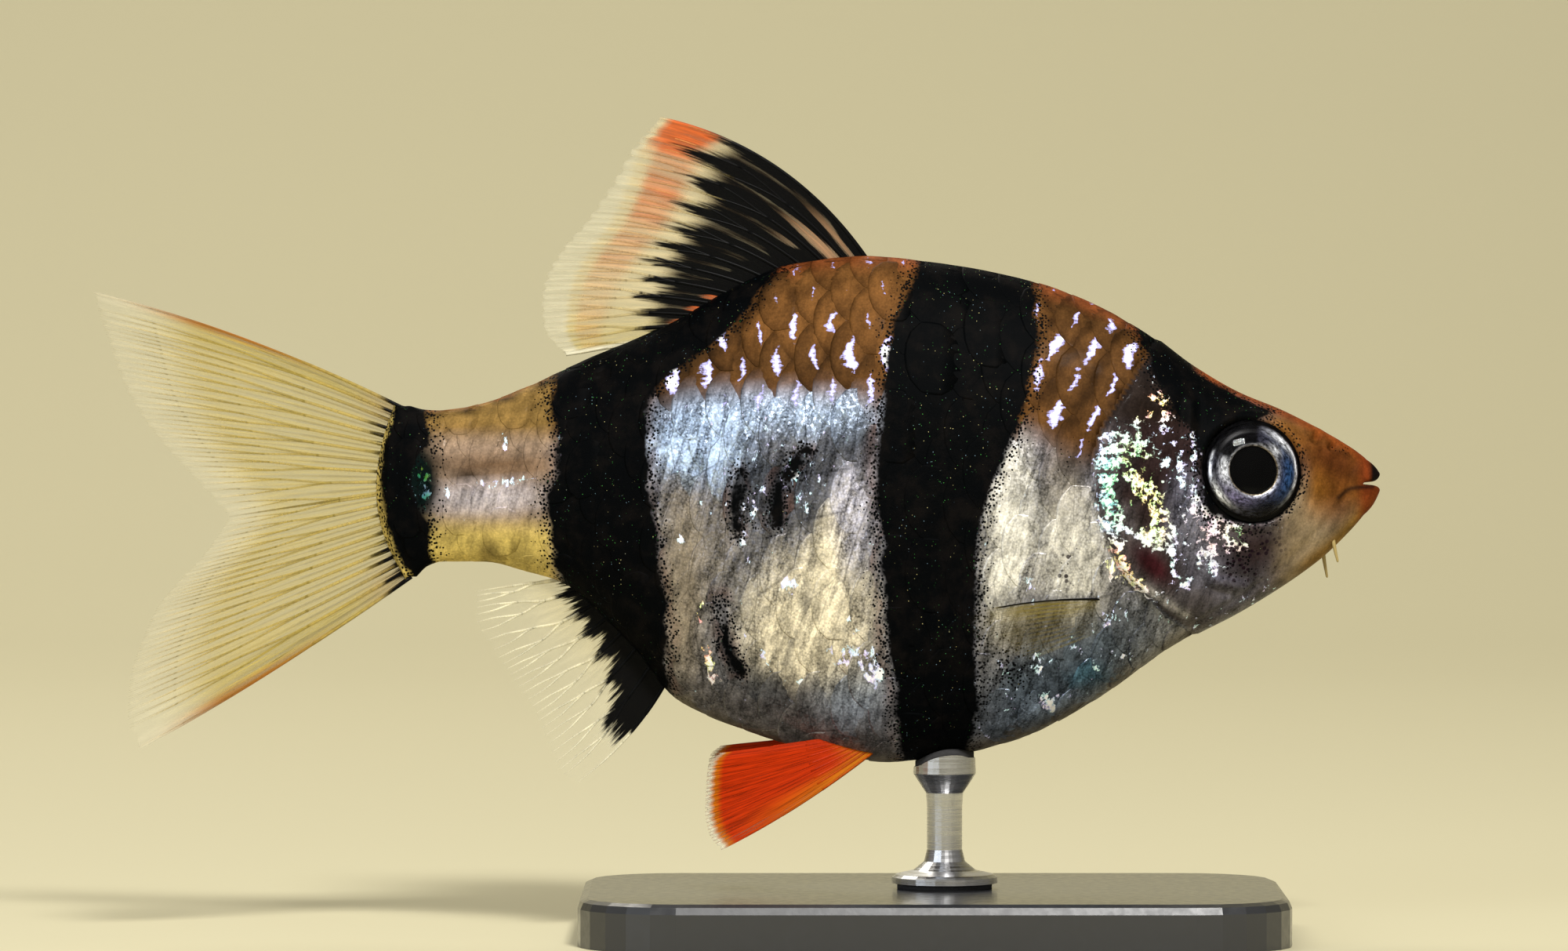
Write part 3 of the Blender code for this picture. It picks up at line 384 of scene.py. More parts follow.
# %% Washes of the head
def head_washes(wash, x, z, ahead):
    """Gill cover, cheek, snout, jaws and lips; ahead is how far a point lies in front of the
    gill opening, in mm."""
    head = ease((ahead + 0.05) / 0.1)

    def dab(tint, place, soft, share, shine, glint):
        wash.lay(tint, head * spot(x, z, place, soft) * share, shine, glint)

    wash.lay(CHEEK_SILVER, head, 0.50, 0.60)
    dab(CHEEK_DARK, (21.7, 24.8, 2.4, 3.6, 0.1), 0.5, 0.95, 0.30, 0.62)
    dab(CHEEK_DARK, (22.7, 19.3, 1.7, 1.2, -0.3), 0.7, 0.7, 0.40, 0.60)
    dab(CHEEK_LILAC, (22.9, 21.4, 1.0, 2.1, 0.12), 0.6, 0.85, 0.65, 0.68)
    dab(CHEEK_LILAC, (24.6, 18.4, 1.8, 1.5, 0.45), 0.7, 0.8, 0.40, 0.35)
    dab(CHEEK_SILVER, (22.9, 16.9, 2.8, 0.7, 0.45), 0.7, 0.8, 0.35, 0.15)
    dab(CHEEK_DARK, (26.0, 19.6, 1.6, 1.2, 0.5), 0.7, 0.90, 0.25, 0.30)
    dab(CHEEK_DARK, (19.8, 22.7, 0.45, 0.5, 0.3), 0.6, 0.8, 0.5, 0.40)
    dab(CHEEK_DARK, (20.7, 21.6, 0.5, 0.7, 0.2), 0.6, 0.8, 0.5, 0.40)
    dab(GILL_RED, (21.0, 19.1, 1.3, 0.6, -0.75), 0.7, 0.95, 0.30, 0.30)
    # Painted glints: a bright white line of sparkles along the lower hem of the gill cover.
    wash.lay(GILL_HEM_GLINT, head * bell(stroke(x, z, COVER_HEM), 0.22) * 0.5, 0.60, 0.95)
    wash.lay(BACK_SHADE, head * ease((z - 25.6) / 1.2) * ease((26 - x) / 2.0) * 0.85, 0.15, 0.40)
    wash.lay(JAW_BEIGE, head * ease((x - 26.9) / 1.6) * ease((24.4 - z) / 2.0), 0.12, 0.0)
    wash.lay(SNOUT_GOLD, head * ease((x - 28.2) / 1.4) * ease((z - 20.6) / 2.2), 0.06, 0.0)
    dab(SNOUT_GOLD, (28.2, 25.6, 1.5, 0.9, -0.6), 0.7, 0.9, 0.06, 0.0)
    dab(SNOUT_RUST, (30.5, 24.4, 2.1, 1.2, -0.55), 0.8, 0.9, 0.05, 0.0)
    dab(SNOUT_RUST, (30.7, 22.2, 0.9, 1.3, -0.3), 0.8, 0.6, 0.05, 0.0)
    under = bell(z - smooth(BELLY, x) - 0.25, 0.5)
    wash.lay(JAW_GOLD, head * ease((x - 28.0) / 1.5) * under * 0.8, 0.05, 0.0)
    top = smooth(BACK, x) - z
    wash.lay(CROWN_ORANGE, head * ease((x - 22.9) / 1.0) * ease((0.55 - top) / 0.5) * 0.9, 0.05, 0.0)
    wash.lay(LIP_RED, head * ease((x - 31.3) / 0.8) * 0.9, 0.03, 0.0)
    wash.lay(LIP_DARK, head * ease((x - 32.1) / 0.35) * ease((z - 23.0) / 0.3), 0.0, 0.0)
    lips_meet = stroke(x, z, ((30.6, 22.4), (31.4, 22.9), (32.4, 22.95)))
    wash.lay(LIP_DARK, head * bell(lips_meet, 0.14) * 0.8, 0.0, 0.0)

sample = Wash((1,), FLANK_SILVER, 0.70, 0.42)
head_washes(sample, np.array([30.0]), np.array([23.5]), np.array([9.0]))
print("the snout:", np.round(sample.colour[0], 2))

# %% All the markings of a point
FULL_GLINT = 1.07

def markings(x, z):
    """Ground colour, shine, glint and the colour of the sparkles at each (x, z) on the flank."""
    wash = Wash(x.shape, FLANK_SILVER, 0.70, 0.42)
    flank_washes(wash, x, z)
    head_washes(wash, x, z, x - smooth(GILL_EDGE, z))
    for place in SPARKLES:
        wash.glint += (FULL_GLINT - wash.glint) * spot(x, z, place, 0.5)
    for place in HOLLOWS:
        wash.glint -= wash.glint * 0.8 * spot(x, z, place, 0.5)
    tints = Wash(x.shape, SPARK_BLUE, 0.0, 0.0)
    for tint, place in SPARK_TINTS:
        tints.lay(tint, spot(x, z, place, 0.6), 0.0)
    return wash.colour, wash.shine, wash.glint, tints.colour

print("flank colour between the bands:", np.round(markings(np.array([2.0]), np.array([25.0]))[0], 2))

# %% [markdown]
# ## Meshes
#
# Every new piece is a surface of two parameters, worked out as whole arrays of points. Its
# faces follow from the numbers of rows and columns, so none is placed by hand.

# %% Meshes from whole arrays
def surface(name, points, face_sets, material, ride="root"):
    """An object from points in mm (N, 3) and sets of faces, each set (M, corners)."""
    mesh = bpy.data.meshes.new(name)
    mesh.vertices.add(len(points))
    mesh.vertices.foreach_set("co", (np.asarray(points, float) * MM).ravel())
    corners = np.concatenate([faces.ravel() for faces in face_sets]).astype(np.int32)
    sizes = np.concatenate([np.full(len(faces), faces.shape[1]) for faces in face_sets])
    mesh.loops.add(len(corners))
    mesh.loops.foreach_set("vertex_index", corners)
    mesh.polygons.add(len(sizes))
    mesh.polygons.foreach_set("loop_start", np.cumsum(sizes) - sizes)
    mesh.update(calc_edges=True)
    mesh.shade_smooth()
    mesh.materials.append(material)
    made = bpy.data.objects.new(name, mesh)
    bpy.context.scene.collection.objects.link(made)
    if ride:
        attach(made, ride)
    return made

def attribute(made, name, values):
    """A value, vector or colour for every vertex."""
    width = 1 if values.ndim == 1 else values.shape[-1]
    kind, key = {1: ("FLOAT", "value"), 3: ("FLOAT_VECTOR", "vector")}[width]
    layer = made.data.attributes.new(name, kind, "POINT")
    layer.data.foreach_set(key, np.ascontiguousarray(values, np.float32).ravel())

def bake_map(made, uv):
    """The OFBake map: one (u, v) for every vertex."""
    layer = made.data.uv_layers.new(name="OFBake")
    corner = np.empty(len(made.data.loops), np.int32)
    made.data.loops.foreach_get("vertex_index", corner)
    layer.data.foreach_set("uv", np.asarray(uv, np.float32)[corner].ravel())

def quads(rows, columns, around=False):
    """Faces of a grid, joined into a ring along its columns if it goes around."""
    index = np.arange(rows * columns).reshape(rows, columns)
    beside = np.roll(index, -1, axis=1) if around else index[:, 1:]
    here = index if around else index[:, :-1]
    return np.stack([here[:-1], beside[:-1], beside[1:], here[1:]], axis=-1).reshape(-1, 4)

def rim_of(rows, columns):
    """The outer points of a grid, in order."""
    index = np.arange(rows * columns).reshape(rows, columns)
    return np.concatenate([index[0, :-1], index[:-1, -1], index[-1, :0:-1], index[:0:-1, 0]])

def sheet_faces(rows, columns):
    """Faces of a closed sheet: an upper grid, a lower grid, and the rim between them."""
    top = quads(rows, columns)
    under = top[:, ::-1] + rows * columns
    rim = rim_of(rows, columns)
    beyond = np.roll(rim, -1)
    side = np.stack([rim, rim + rows * columns, beyond + rows * columns, beyond], axis=-1)
    return np.concatenate([top, under, side])

def fan(ring, centre):
    """Triangles that close a ring of points with one point at its centre."""
    return np.stack([ring, np.roll(ring, -1), np.full(len(ring), centre)], axis=-1)

def turned_faces(rings, around):
    """Faces of a pile of rings, and of the pole at each end, numbered after the rings."""
    ring, count = np.arange(around), rings * around
    closing = np.concatenate([fan(ring, count), fan(ring[::-1] + count - around, count + 1)])
    return [quads(rings, around, around=True)[:, ::-1], closing]

print("a sheet of 4 by 5 points has", len(sheet_faces(4, 5)), "faces")

# %% [markdown]
# ## Shader parts that several finishes share
#
# Fish colour is layered: pigment cells that gather into a band and scatter at its edge,
# crystals that glitter, whose glints are painted into the colour as bright spots, and foil that
# wrinkles. Each is a node group, built once and placed in every material that needs it.

# %% Small helpers for nodes
MIX_FIRST, MIX_SECOND, MIX_RESULT = 6, 7, 2

def feed(tree, socket, value):
    """Link a socket to another node's output, or set its own value."""
    if isinstance(value, bpy.types.NodeSocket):
        tree.links.new(value, socket)
    else:
        socket.default_value = value

def put(tree, kind, inputs=None, **settings):
    """A shader node with its settings, and its inputs fed by name or number."""
    node = tree.nodes.new("ShaderNode" + kind)
    for key, value in settings.items():
        setattr(node, key, value)
    for key, value in (inputs or {}).items():
        feed(tree, node.inputs[key], value)
    return node

def calc(tree, operation, *values, clamp=False):
    """The result of a Math node."""
    return put(tree, "Math", dict(enumerate(values)), operation=operation, use_clamp=clamp).outputs[0]

def noise(tree, vector, scale, detail, **more):
    """The value of a noise texture."""
    return put(tree, "TexNoise", {"Vector": vector, "Scale": scale, "Detail": detail, **more}).outputs[0]

def stretch(tree, vector, factors):
    """A vector times three factors."""
    return put(tree, "VectorMath", {0: vector, 1: factors}, operation="MULTIPLY").outputs[0]

def ramp(tree, value, low, high, start=0.0, end=1.0):
    """An eased way from start to end while the value goes from low to high."""
    return put(tree, "MapRange", {"Value": value, "From Min": low, "From Max": high, "To Min": start,
                                  "To Max": end}, interpolation_type="SMOOTHSTEP").outputs["Result"]

def blend(tree, share, first, second):
    """A mix of two colours, each a socket or three numbers."""
    node = put(tree, "Mix", {"Factor": share}, data_type="RGBA")
    for number, value in ((MIX_FIRST, first), (MIX_SECOND, second)):
        linked = isinstance(value, bpy.types.NodeSocket)
        feed(tree, node.inputs[number], value if linked else (*value, 1.0))
    return node.outputs[MIX_RESULT]

def group(name, inputs, outputs):
    """A new node group with named inputs and outputs; an input of None is a vector."""
    tree = bpy.data.node_groups.new(name, "ShaderNodeTree")
    for label, value in inputs.items():
        kind = "NodeSocketVector" if value is None else "NodeSocketFloat"
        socket = tree.interface.new_socket(label, in_out="INPUT", socket_type=kind)
        if value is not None:
            socket.default_value = value
    for label, kind in outputs.items():
        tree.interface.new_socket(label, in_out="OUTPUT", socket_type="NodeSocket" + kind)
    return tree, tree.nodes.new("NodeGroupInput").outputs, tree.nodes.new("NodeGroupOutput").inputs

def use(tree, name, **inputs):
    """The outputs of a node group placed in a material."""
    node = tree.nodes.new("ShaderNodeGroup")
    node.node_tree = bpy.data.node_groups[name]
    for key, value in inputs.items():
        feed(tree, node.inputs[key], value)
    return node.outputs

def millimetres(tree):
    """The place on the object, in millimetres."""
    return stretch(tree, put(tree, "TexCoord").outputs["Object"], (1000.0,) * 3)

def new_look(name):
    """A new material, its node tree and its Principled shader."""
    look = bpy.data.materials.new(name)
    look.use_nodes = True
    return look, look.node_tree, look.node_tree.nodes["Principled BSDF"]

print("a node's input is a value, or the output of another node")

# %% Pigment: a solid core, a wavering edge, and dots that thin out beyond it
tree, given, result = group("pigment", {"Place": None, "Depth": 0.0, "Scatter": 1.0, "Waver": 0.5},
                            {"Mask": "Float"})
waves = noise(tree, given["Place"], 0.8, 5.0, Roughness=0.6)
shifted = calc(tree, "ADD", given["Depth"],
               calc(tree, "MULTIPLY", calc(tree, "SUBTRACT", waves, 0.5), given["Waver"]))
core = ramp(tree, shifted, -0.06, 0.30)
cells = put(tree, "TexVoronoi", {"Vector": given["Place"], "Scale": 6.4}, feature="F1")
near = calc(tree, "ADD", calc(tree, "DIVIDE", shifted, given["Scatter"]), 1.0, clamp=True)
chance = put(tree, "SeparateColor", {"Color": cells.outputs["Color"]}).outputs[0]
kept = calc(tree, "LESS_THAN", chance, calc(tree, "POWER", near, 1.2))
edge = calc(tree, "ADD", calc(tree, "MULTIPLY", near, 0.34), 0.22)
dots = calc(tree, "DIVIDE", calc(tree, "SUBTRACT", edge, cells.outputs["Distance"]), 0.16, clamp=True)
tree.links.new(calc(tree, "MAXIMUM", core, calc(tree, "MULTIPLY", dots, kept)), result["Mask"])
print("pigment group has", len(tree.nodes), "nodes")

# %% Glitter: painted glints, rare bright specks of green, blue and gold in the black, in loose drifts
tree, given, result = group("glitter", {"Place": None, "Scale": 17.0, "Rarity": 0.975},
                            {"Mask": "Float", "Colour": "Color"})
cells = put(tree, "TexVoronoi", {"Vector": given["Place"], "Scale": given["Scale"]}, feature="F1")
parts = put(tree, "SeparateColor", {"Color": cells.outputs["Color"]}).outputs
lit = calc(tree, "GREATER_THAN", parts[0], given["Rarity"])
speck = ramp(tree, cells.outputs["Distance"], 0.50, 0.20)
drift = noise(tree, given["Place"], 0.6, 3.0)
shown = calc(tree, "MULTIPLY", calc(tree, "MULTIPLY", lit, speck), ramp(tree, drift, 0.42, 0.62))
tree.links.new(shown, result["Mask"])
cool = blend(tree, ramp(tree, parts[1], 0.4, 0.6), (0.05, 0.26, 0.05), (0.16, 0.26, 0.34))
tree.links.new(blend(tree, ramp(tree, parts[1], 0.76, 0.80), cool, (0.55, 0.50, 0.22)), result["Colour"])
print("glitter group has", len(tree.nodes), "nodes")

# %% Foil: leaning wrinkles, bright beads, and painted shade in thin straight creases of the silver layer
tree, given, result = group("foil", {"Place": None}, {"Height": "Float", "Tint": "Float", "Grain": "Float",
                                                      "CreaseShade": "Float"})
leaning = put(tree, "VectorRotate", {"Vector": given["Place"], "Angle": -0.26},
              rotation_type="Y_AXIS").outputs[0]
upright = stretch(tree, leaning, (2.3, 1.2, 0.50))
folds = noise(tree, upright, 1.0, 6.0, Roughness=0.62, Distortion=0.3)
fine = noise(tree, given["Place"], 8.0, 3.0)
ridge = calc(tree, "ABSOLUTE", calc(tree, "SUBTRACT", folds, 0.5))
tree.links.new(calc(tree, "ADD", calc(tree, "MULTIPLY", ridge, 2.4), calc(tree, "MULTIPLY", fine, 0.5)),
               result["Height"])
tree.links.new(ramp(tree, folds, 0.38, 0.62), result["Tint"])
beads = put(tree, "TexVoronoi", {"Vector": given["Place"], "Scale": 8.5}, feature="F1").outputs["Distance"]
bead = calc(tree, "MULTIPLY", calc(tree, "SUBTRACT", 0.42, beads), 1.1)
tree.links.new(calc(tree, "ADD", fine, bead), result["Grain"])
tall = stretch(tree, leaning, (0.55, 0.4, 0.17))
border = put(tree, "TexVoronoi", {"Vector": tall, "Scale": 1.0}, feature="DISTANCE_TO_EDGE").outputs[0]
tree.links.new(ramp(tree, border, 0.020, 0.0), result["CreaseShade"])
print("foil group has", len(tree.nodes), "nodes")

# %% Glint: painted glints, bright blobs that merge into clusters, more of them where the amount is larger
tree, given, result = group("glint", {"Place": None, "Amount": 0.5}, {"Mask": "Float", "Core": "Float",
                                                                      "Hue": "Float"})
blobs = noise(tree, given["Place"], 2.5, 8.0, Roughness=0.68, Distortion=0.3)
grains = put(tree, "TexVoronoi", {"Vector": given["Place"], "Scale": 5.5}, feature="F1")
chance = put(tree, "SeparateColor", {"Color": grains.outputs["Color"]}).outputs[0]
level = calc(tree, "ADD", blobs, calc(tree, "MULTIPLY", calc(tree, "SUBTRACT", chance, 0.5), 0.15))
need = calc(tree, "SUBTRACT", 0.80, calc(tree, "MULTIPLY", given["Amount"], 0.32))
above = calc(tree, "SUBTRACT", level, need)
tree.links.new(ramp(tree, above, 0.0, 0.045), result["Mask"])
tree.links.new(ramp(tree, above, 0.03, 0.13), result["Core"])
hue = noise(tree, given["Place"], 2.1, 3.0)
tree.links.new(ramp(tree, hue, 0.30, 0.70, 0.40, 0.60), result["Hue"])
print("glint group has", len(tree.nodes), "nodes")

# %% Flakes: each crystal cell tips the surface its own way, which makes foil sparkle
tree, given, result = group("flakes", {"Place": None, "Normal": None, "Amount": 0.3}, {"Normal": "Vector"})
cells = put(tree, "TexVoronoi", {"Vector": given["Place"], "Scale": 6.0}, feature="F1").outputs["Color"]
tip = put(tree, "VectorMath", {0: cells, 1: (0.5, 0.5, 0.5)}, operation="SUBTRACT").outputs[0]
push = put(tree, "VectorMath", {0: tip, "Scale": given["Amount"]}, operation="SCALE").outputs[0]
leant = put(tree, "VectorMath", {0: given["Normal"], 1: push}, operation="ADD").outputs[0]
tree.links.new(put(tree, "VectorMath", {0: leant}, operation="NORMALIZE").outputs[0], result["Normal"])
print("groups:", [g.name for g in bpy.data.node_groups])

# %% [markdown]
# ## Skin and scale finish
#
# Skin is pigment under a wet clear film. The silver parts act like metal and the black and
# orange parts like glossy skin, so the metallic value itself follows the markings.
# The film is the shader's coat, full over the silver and none over the black, which looks
# like velvet. On the scales a bright crescent is painted across each plate as a painted
# highlight, and the plates of the back get painted light at their middles and painted shade
# round their edges. Sparkles are painted into the colour as bright glints.

# %% A wet skin material that reads the markings
def attribute_of(tree, name):
    """What the points of the mesh store under a name."""
    return put(tree, "Attribute", attribute_name=name, attribute_type="GEOMETRY").outputs

def squared(tree, value):
    return calc(tree, "POWER", calc(tree, "ABSOLUTE", value), 2.0)

def scale_painted_light_and_shade(tree, lie, rusty):
    """Painted light and shade on one rusty scale of the back, as a factor on its brightness: more
    at its middle, less round its edge, and most where the crescent's painted highlight is. The
    darker edge is painted shade between the plates and also the scale's own darker rim.
    """
    off = calc(tree, "MULTIPLY", calc(tree, "SUBTRACT", lie[0], 0.68), 2.9)
    round_off = calc(tree, "ADD", squared(tree, off), squared(tree, lie[1]))
    on_back = calc(tree, "MULTIPLY", lie[2], 1.5, clamp=True)
    shaded = calc(tree, "MULTIPLY", ramp(tree, round_off, 0.0, 1.2, 0.40, -0.45), rusty)
    return calc(tree, "ADD", 1.0, calc(tree, "MULTIPLY", shaded, on_back))

def crescent(tree, place, mottle, lie):
    """How far inside its crescent, a painted highlight, a point of a scale lies: a band across the
    plate that narrows to its sides, sways, is torn into rows, and fades where the scale's painted
    highlight is weaker."""
    comb = noise(tree, stretch(tree, place, (1.0, 1.0, 6.0)), 1.0, 2.0)
    jagged = calc(tree, "MULTIPLY", calc(tree, "SUBTRACT", comb, 0.5), 0.18)
    sway = calc(tree, "MULTIPLY", calc(tree, "SUBTRACT", mottle, 0.5), 0.6)
    away = calc(tree, "ABSOLUTE", calc(tree, "SUBTRACT", lie[0], calc(tree, "ADD", 0.64, sway)))
    narrow = calc(tree, "MULTIPLY", squared(tree, lie[1]), 0.42)
    reach = calc(tree, "SUBTRACT", calc(tree, "SUBTRACT", 0.090, narrow), away)
    faint = calc(tree, "MULTIPLY", calc(tree, "SUBTRACT", 1.0, lie[2]), 0.20)
    return calc(tree, "SUBTRACT", calc(tree, "ADD", reach, jagged), faint)

def wet_skin(name, scaled):
    """Skin or scales: ground colour, foil, sparkles painted as bright glints, and pigment, laid one
    over another. Scales also get painted light and shade and a painted highlight on each plate.
    """
    look, tree, shader = new_look(name)
    place = millimetres(tree)
    ground = attribute_of(tree, "ground")["Color"]
    shine = attribute_of(tree, "shine")["Fac"]
    depth = attribute_of(tree, "dark")["Fac"]
    mask = use(tree, "pigment", Place=place, Depth=depth, Scatter=1.1, Waver=1.1)["Mask"]
    bare = calc(tree, "SUBTRACT", 1.0, mask)
    foil = use(tree, "foil", Place=place)
    glitter = use(tree, "glitter", Place=place)
    drawn = put(tree, "VectorMath", {0: place, 1: (1.0, 1.0, 0.6 if scaled else 1.0)}, operation="MULTIPLY")
    # Painted glints: bright spots where the crystals catch the light, painted into the colour in their
    # tints, with less metal under them.
    glint_paint = use(tree, "glint", Place=drawn.outputs[0], Amount=attribute_of(tree, "glint")["Fac"])
    contrast = ramp(tree, shine, 0.1, 0.7, 0.30, 1.0)
    swing = calc(tree, "MULTIPLY", calc(tree, "SUBTRACT", foil["Tint"], 0.55), contrast)
    grain = calc(tree, "MULTIPLY", calc(tree, "SUBTRACT", foil["Grain"], 0.5),
                 ramp(tree, shine, 0.25, 0.6, 0.35, 0.85))
    value = calc(tree, "ADD", calc(tree, "ADD", 1.0, calc(tree, "MULTIPLY", swing, 0.85)), grain)
    mottle = noise(tree, place, 0.9, 6.0, Roughness=0.6)
    value = calc(tree, "MULTIPLY", value, ramp(tree, mottle, 0.3, 0.7, 0.70, 1.28))
    # Painted shade in the thin creases of the silver.
    crease_shade = calc(tree, "MULTIPLY", foil["CreaseShade"], ramp(tree, shine, 0.2, 0.6, 0.0, 0.45))
    value = calc(tree, "MULTIPLY", value, calc(tree, "SUBTRACT", 1.0, crease_shade))
    height = calc(tree, "MULTIPLY", foil["Height"], contrast)
    tint = put(tree, "HueSaturation", {"Color": attribute_of(tree, "tint")["Color"],
                                       "Hue": glint_paint["Hue"]}).outputs[0]
    pale = ramp(tree, put(tree, "RGBToBW", {"Color": tint}).outputs[0], 0.20, 0.50)
    bright = blend(tree, calc(tree, "MULTIPLY", glint_paint["Core"], pale), tint, (1.0, 0.99, 1.0))
    spark = glint_paint["Mask"]
    rusty = calc(tree, "MULTIPLY", calc(tree, "SUBTRACT", 0.6, shine), 1.6, clamp=True)
    if scaled:
        lie = put(tree, "SeparateXYZ", {"Vector": attribute_of(tree, "lie")["Vector"]}).outputs
        # Painted light and shade on each plate, then its crescent: a painted highlight, white with a lilac
        # fringe, laid over the tone and the glints.
        value = calc(tree, "MULTIPLY", value, scale_painted_light_and_shade(tree, lie, rusty))
        shown = crescent(tree, place, mottle, lie)
        bright = blend(tree, ramp(tree, shown, -0.055, -0.02), bright, (0.42, 0.40, 0.80))
        bright = blend(tree, ramp(tree, shown, -0.005, 0.03), bright, (1.0, 0.98, 1.0))
        spark = calc(tree, "MAXIMUM", spark, ramp(tree, shown, -0.04, -0.01))
    tone = put(tree, "HueSaturation", {"Color": ground, "Value": value}).outputs[0]
    tone = blend(tree, spark, tone, bright)
    round_dots = put(tree, "TexVoronoi", {"Vector": place, "Scale": 3.2, "Randomness": 0.8},
                     feature="F1").outputs["Distance"]
    freckled = calc(tree, "MULTIPLY", ramp(tree, round_dots, 0.40, 0.28),
                    attribute_of(tree, "freckle")["Fac"])
    tone = blend(tree, freckled, tone, shade(26, 14, 24))
    gleaming = calc(tree, "MULTIPLY", glitter["Mask"], 0.9)
    velvet = blend(tree, ramp(tree, mottle, 0.42, 0.72), shade(3, 4, 5), shade(13, 11, 10))
    black = blend(tree, gleaming, velvet, glitter["Colour"])
    silver = calc(tree, "MULTIPLY", shine, bare)
    metal = calc(tree, "MULTIPLY", silver, calc(tree, "SUBTRACT", 1.0, calc(tree, "MULTIPLY", spark, 0.8)))
    rough = calc(tree, "SUBTRACT", 0.58, calc(tree, "MULTIPLY", silver, 0.34))
    lift = put(tree, "Bump", {"Height": height, "Strength": 0.55, "Distance": 0.00006}).outputs[0]
    tipping = calc(tree, "MULTIPLY", metal, 0.42)
    tipped = use(tree, "flakes", Place=place, Normal=lift, Amount=tipping)["Normal"]
    film = calc(tree, "MULTIPLY", calc(tree, "MULTIPLY", silver, silver), 0.40)
    for socket, value in (("Base Color", blend(tree, mask, tone, black)), ("Metallic", metal),
                          ("Roughness", rough), ("Normal", tipped), ("Coat Weight", film)):
        tree.links.new(value, shader.inputs[socket])
    shader.inputs["Coat Roughness"].default_value = 0.11
    shader.inputs["Specular IOR Level"].default_value = 0.02
    return look

SKIN, SCALE = wet_skin("wet skin", False), wet_skin("wet scales", True)
print("finishes:", SKIN.name, SCALE.name)

# %% [markdown]
# ## The skin
#
# One skin covers the head, the gill covers, the trunk and the tail's root, so no seam shows.
# It is the flesh's own rings at about a sixth of a millimetre, pushed in or out along its
# normal for the gill cover, the ridges of the cheek, the rim of the eye and the nostrils.
# Under the scales it lies deeper by their thickness.

# %% Lines and pits of the head
COVER_RIDGE = ((21.4, 27.0), (21.7, 24.6), (21.9, 22.2), (22.4, 19.6), (22.9, 17.8))
CHEEK_RIDGE = ((23.4, 22.6), (23.9, 20.9), (25.6, 20.2), (27.4, 20.5), (28.8, 21.8))
LIP_FOLD = ((31.55, 24.3), (31.2, 23.5), (31.1, 22.8), (30.8, 22.1))
JAW_LINE = ((31.1, 22.6), (30.2, 21.4), (28.8, 20.0), (27.0, 18.6))
THROAT_LINE = ((23.2, 15.9), (25.4, 17.2), (27.6, 18.7), (29.2, 20.0))
FOLDS = ((0.10, PREOPERCLE, 0.30), (0.09, COVER_RIDGE, 0.28), (0.10, CHEEK_RIDGE, 0.40),
         (-0.10, LIP_FOLD, 0.16), (-0.07, JAW_LINE, 0.22), (-0.08, THROAT_LINE, 0.20))
NOSTRILS = ((30.35, 24.95, 0.26), (29.5, 25.4, 0.33))
COAT = 0.13
print(len(FOLDS), "folds, each as a height in mm, a line and a width")

# %% Relief of the skin
def scaled_part(x, z):
    """1 where scales grow: behind the gill opening and the nape, in front of the tail fin."""
    return ease((smooth(GILL_EDGE, z) - 0.1 - x) / 0.3) * ease((x + 17.7) / 0.5)

def sight(side):
    """Unit vector of one eye's line of sight, leaning forward and up."""
    forward, up = math.sin(EYE_FORWARD), math.sin(EYE_UP)
    return np.array([forward, side * math.sqrt(1 - forward ** 2 - up ** 2), up])

def eye_radius(point, side):
    """Distance from the line of sight of one eye."""
    axis = sight(side)
    away = point - np.array([EYE_X, side * EYE_Y, EYE_Z])
    return np.linalg.norm(away - (away @ axis)[..., None] * axis, axis=-1)

def relief(point):
    """Push along the normal, in mm, at points on the bare flesh."""
    x, y, z = np.moveaxis(point, -1, 0)
    ahead = x - smooth(GILL_EDGE, z)
    fade = ease((29.0 - z) / 1.5) * ease((z - 16.0) / 1.2)
    cover = ease((ahead + 0.02) / 0.12)
    push = fade * (0.26 * cover * (0.55 + 0.45 * bell(ahead, 2.2)) * ease((24.2 - x) / 1.4))
    push -= 0.10 * fade * bell(ahead + 0.10, 0.25) * (1 - cover)
    for height, line, width in FOLDS:
        push += height * bell(stroke(x, z, line), width)
    push -= 0.10 * bell(stroke(x, z, PREOPERCLE) - 0.45, 0.22)
    for side in (-1, 1):
        r = np.where(y * side > 0.3, eye_radius(point, side), 9.0)
        push += 0.14 * bell(r - EYE_RADIUS - 0.28, 0.26)
        push -= 1.1 * ease((EYE_RADIUS + 0.06 - r) / 0.22)
    for cx, cz, radius in NOSTRILS:
        r = np.hypot(x - cx, z - cz)
        push -= 0.30 * ease((radius - r) / 0.14 + 0.3)
        push += 0.07 * bell(r - radius - 0.08, 0.10)
    return push - COAT * scaled_part(x, z)

print("the gill cover stands", relief(np.array([[21.0, 4.0, 24.0]])).round(2), "mm proud")

# %% The round rear edge of the flesh
TAIL_MIDDLE, TAIL_HALF, SLIDE_TOP, SLIDE_BOTTOM = 22.7, 4.7, 0.5, 1.1

def tail_slide(x, z):
    """How far the flesh near the root of the tail slides forward: the square of its height from
    the middle, times one length at the top and a longer one at the bottom."""
    away = (z - TAIL_MIDDLE) / TAIL_HALF
    slide = np.where(away > 0, SLIDE_TOP, SLIDE_BOTTOM)
    return slide * np.minimum(away ** 2, 1.1) * ease((-15.4 - x) / 2.5)

print("the lower corner slides", round(float(tail_slide(TAIL_END, 18.0)), 2), "mm")

